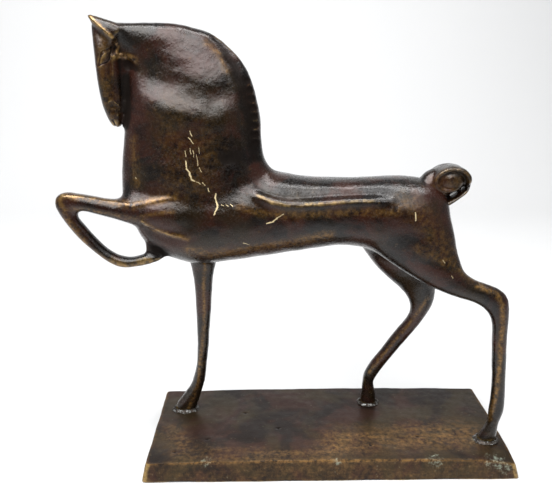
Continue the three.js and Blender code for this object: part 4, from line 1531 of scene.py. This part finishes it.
def sheet_faces(rows, columns):
    """Quads of an open grid."""
    i, k = np.meshgrid(np.arange(rows - 1), np.arange(columns - 1), indexing="ij")
    here = i * columns + k
    quads = np.stack([here, here + 1, here + columns + 1, here + columns], axis=2)
    return quads.reshape(-1, 4).tolist()


def stage_mesh(name, points, faces, material):
    """A floor or a card: part of the studio, not of the object."""
    mesh = bpy.data.meshes.new(name)
    mesh.from_pydata((np.asarray(points, float) * MM).tolist(), [], faces)
    mesh.shade_smooth()
    mesh.materials.append(material)
    made = bpy.data.objects.new(name, mesh)
    bpy.context.scene.collection.objects.link(made)
    made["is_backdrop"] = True
    return made


paper, tree, shader, position = start_material("studio_paper")
depth = add(tree, "SeparateXYZ", {0: position}).outputs["Y"]
# Painted shade: the paper darkens towards the viewer, standing in for the dim side of the room.
painted_shade_tint = blend(ramp(depth, -0.48, -0.09), rgb(0.22, 0.22, 0.22), rgb(0.62, 0.62, 0.62))
feed(shader, {"Base Color": painted_shade_tint, "Roughness": 0.9, "Specular IOR Level": 0.2})
sweep = sweep_grid()
stage_mesh("sweep", sweep.reshape(-1, 3), sheet_faces(*sweep.shape[:2]), paper)

felt, tree, shader, position = start_material("black_felt")
feed(shader, {"Base Color": rgb(0.03, 0.03, 0.03), "Roughness": 0.9, "Specular IOR Level": 0.1})
flag_corners = [[-750, -1300, 0], [750, -1300, 0], [750, -1300, 620], [-750, -1300, 620]]
flag = stage_mesh("black_flag", flag_corners, [[0, 1, 2, 3]], felt)
flag.visible_camera = False
print("stage: sweep and flag")

# %% [markdown]
# The lights are soft rectangles, placed in millimetres. The camera is fitted to the base's
# four top corners.

# %% Lights and camera
def area_light(name, at, aim, size, power):
    """A rectangular soft light at one point, turned to face another (millimetres)."""
    lamp = bpy.data.lights.new(name, "AREA")
    lamp.shape, lamp.energy = "RECTANGLE", power
    lamp.size, lamp.size_y = (s * MM for s in size)
    made = bpy.data.objects.new(name, lamp)
    made.location = Vector(at) * MM
    made.rotation_euler = (Vector(aim) - Vector(at)).to_track_quat("-Z", "Y").to_euler()
    bpy.context.scene.collection.objects.link(made)


area_light("overhead", (40, -180, 1140), (0, 0, 150), (1500, 160), 13)
area_light("window", (-350, -760, 1020), (0, 0, 170), (1500, 720), 19)
area_light("ceiling", (0, -900, 1500), (0, 0, 150), (2400, 1400), 18)
area_light("backlight", (-300, 700, 900), (-300, 1100, 300), (1600, 500), 4)

world = bpy.data.worlds.new("studio")
world.use_nodes = True
background = world.node_tree.nodes["Background"]
background.inputs["Color"].default_value = rgb(0.92, 0.96, 1.0)
background.inputs["Strength"].default_value = 0.3
bpy.context.scene.world = world
bpy.context.scene.view_settings.view_transform = "Standard"

lens = bpy.data.cameras.new("camera")
lens.sensor_width = 36
lens.lens = 39.13
camera = bpy.data.objects.new("camera", lens)
bpy.context.scene.collection.objects.link(camera)
PITCH, YAW, ROLL = np.radians([17.39, 0.56, -0.28])
CAMERA_AT = (-0.01566, -0.3881, 0.2712)
aim = Euler((np.pi / 2 - PITCH, 0, -YAW)).to_matrix()
turned = (aim @ Euler((0, 0, ROLL)).to_matrix()).to_4x4()
camera.matrix_world = Matrix.Translation(CAMERA_AT) @ turned
bpy.context.scene.camera = camera
print("camera at, mm:", [round(v / MM, 1) for v in camera.location])

# %% [markdown]
# Last, the box round the visual model is printed.

# %% Print the visual box
low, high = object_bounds()
print("visual box, mm:", [round(v / MM, 1) for v in (*low, *high)])
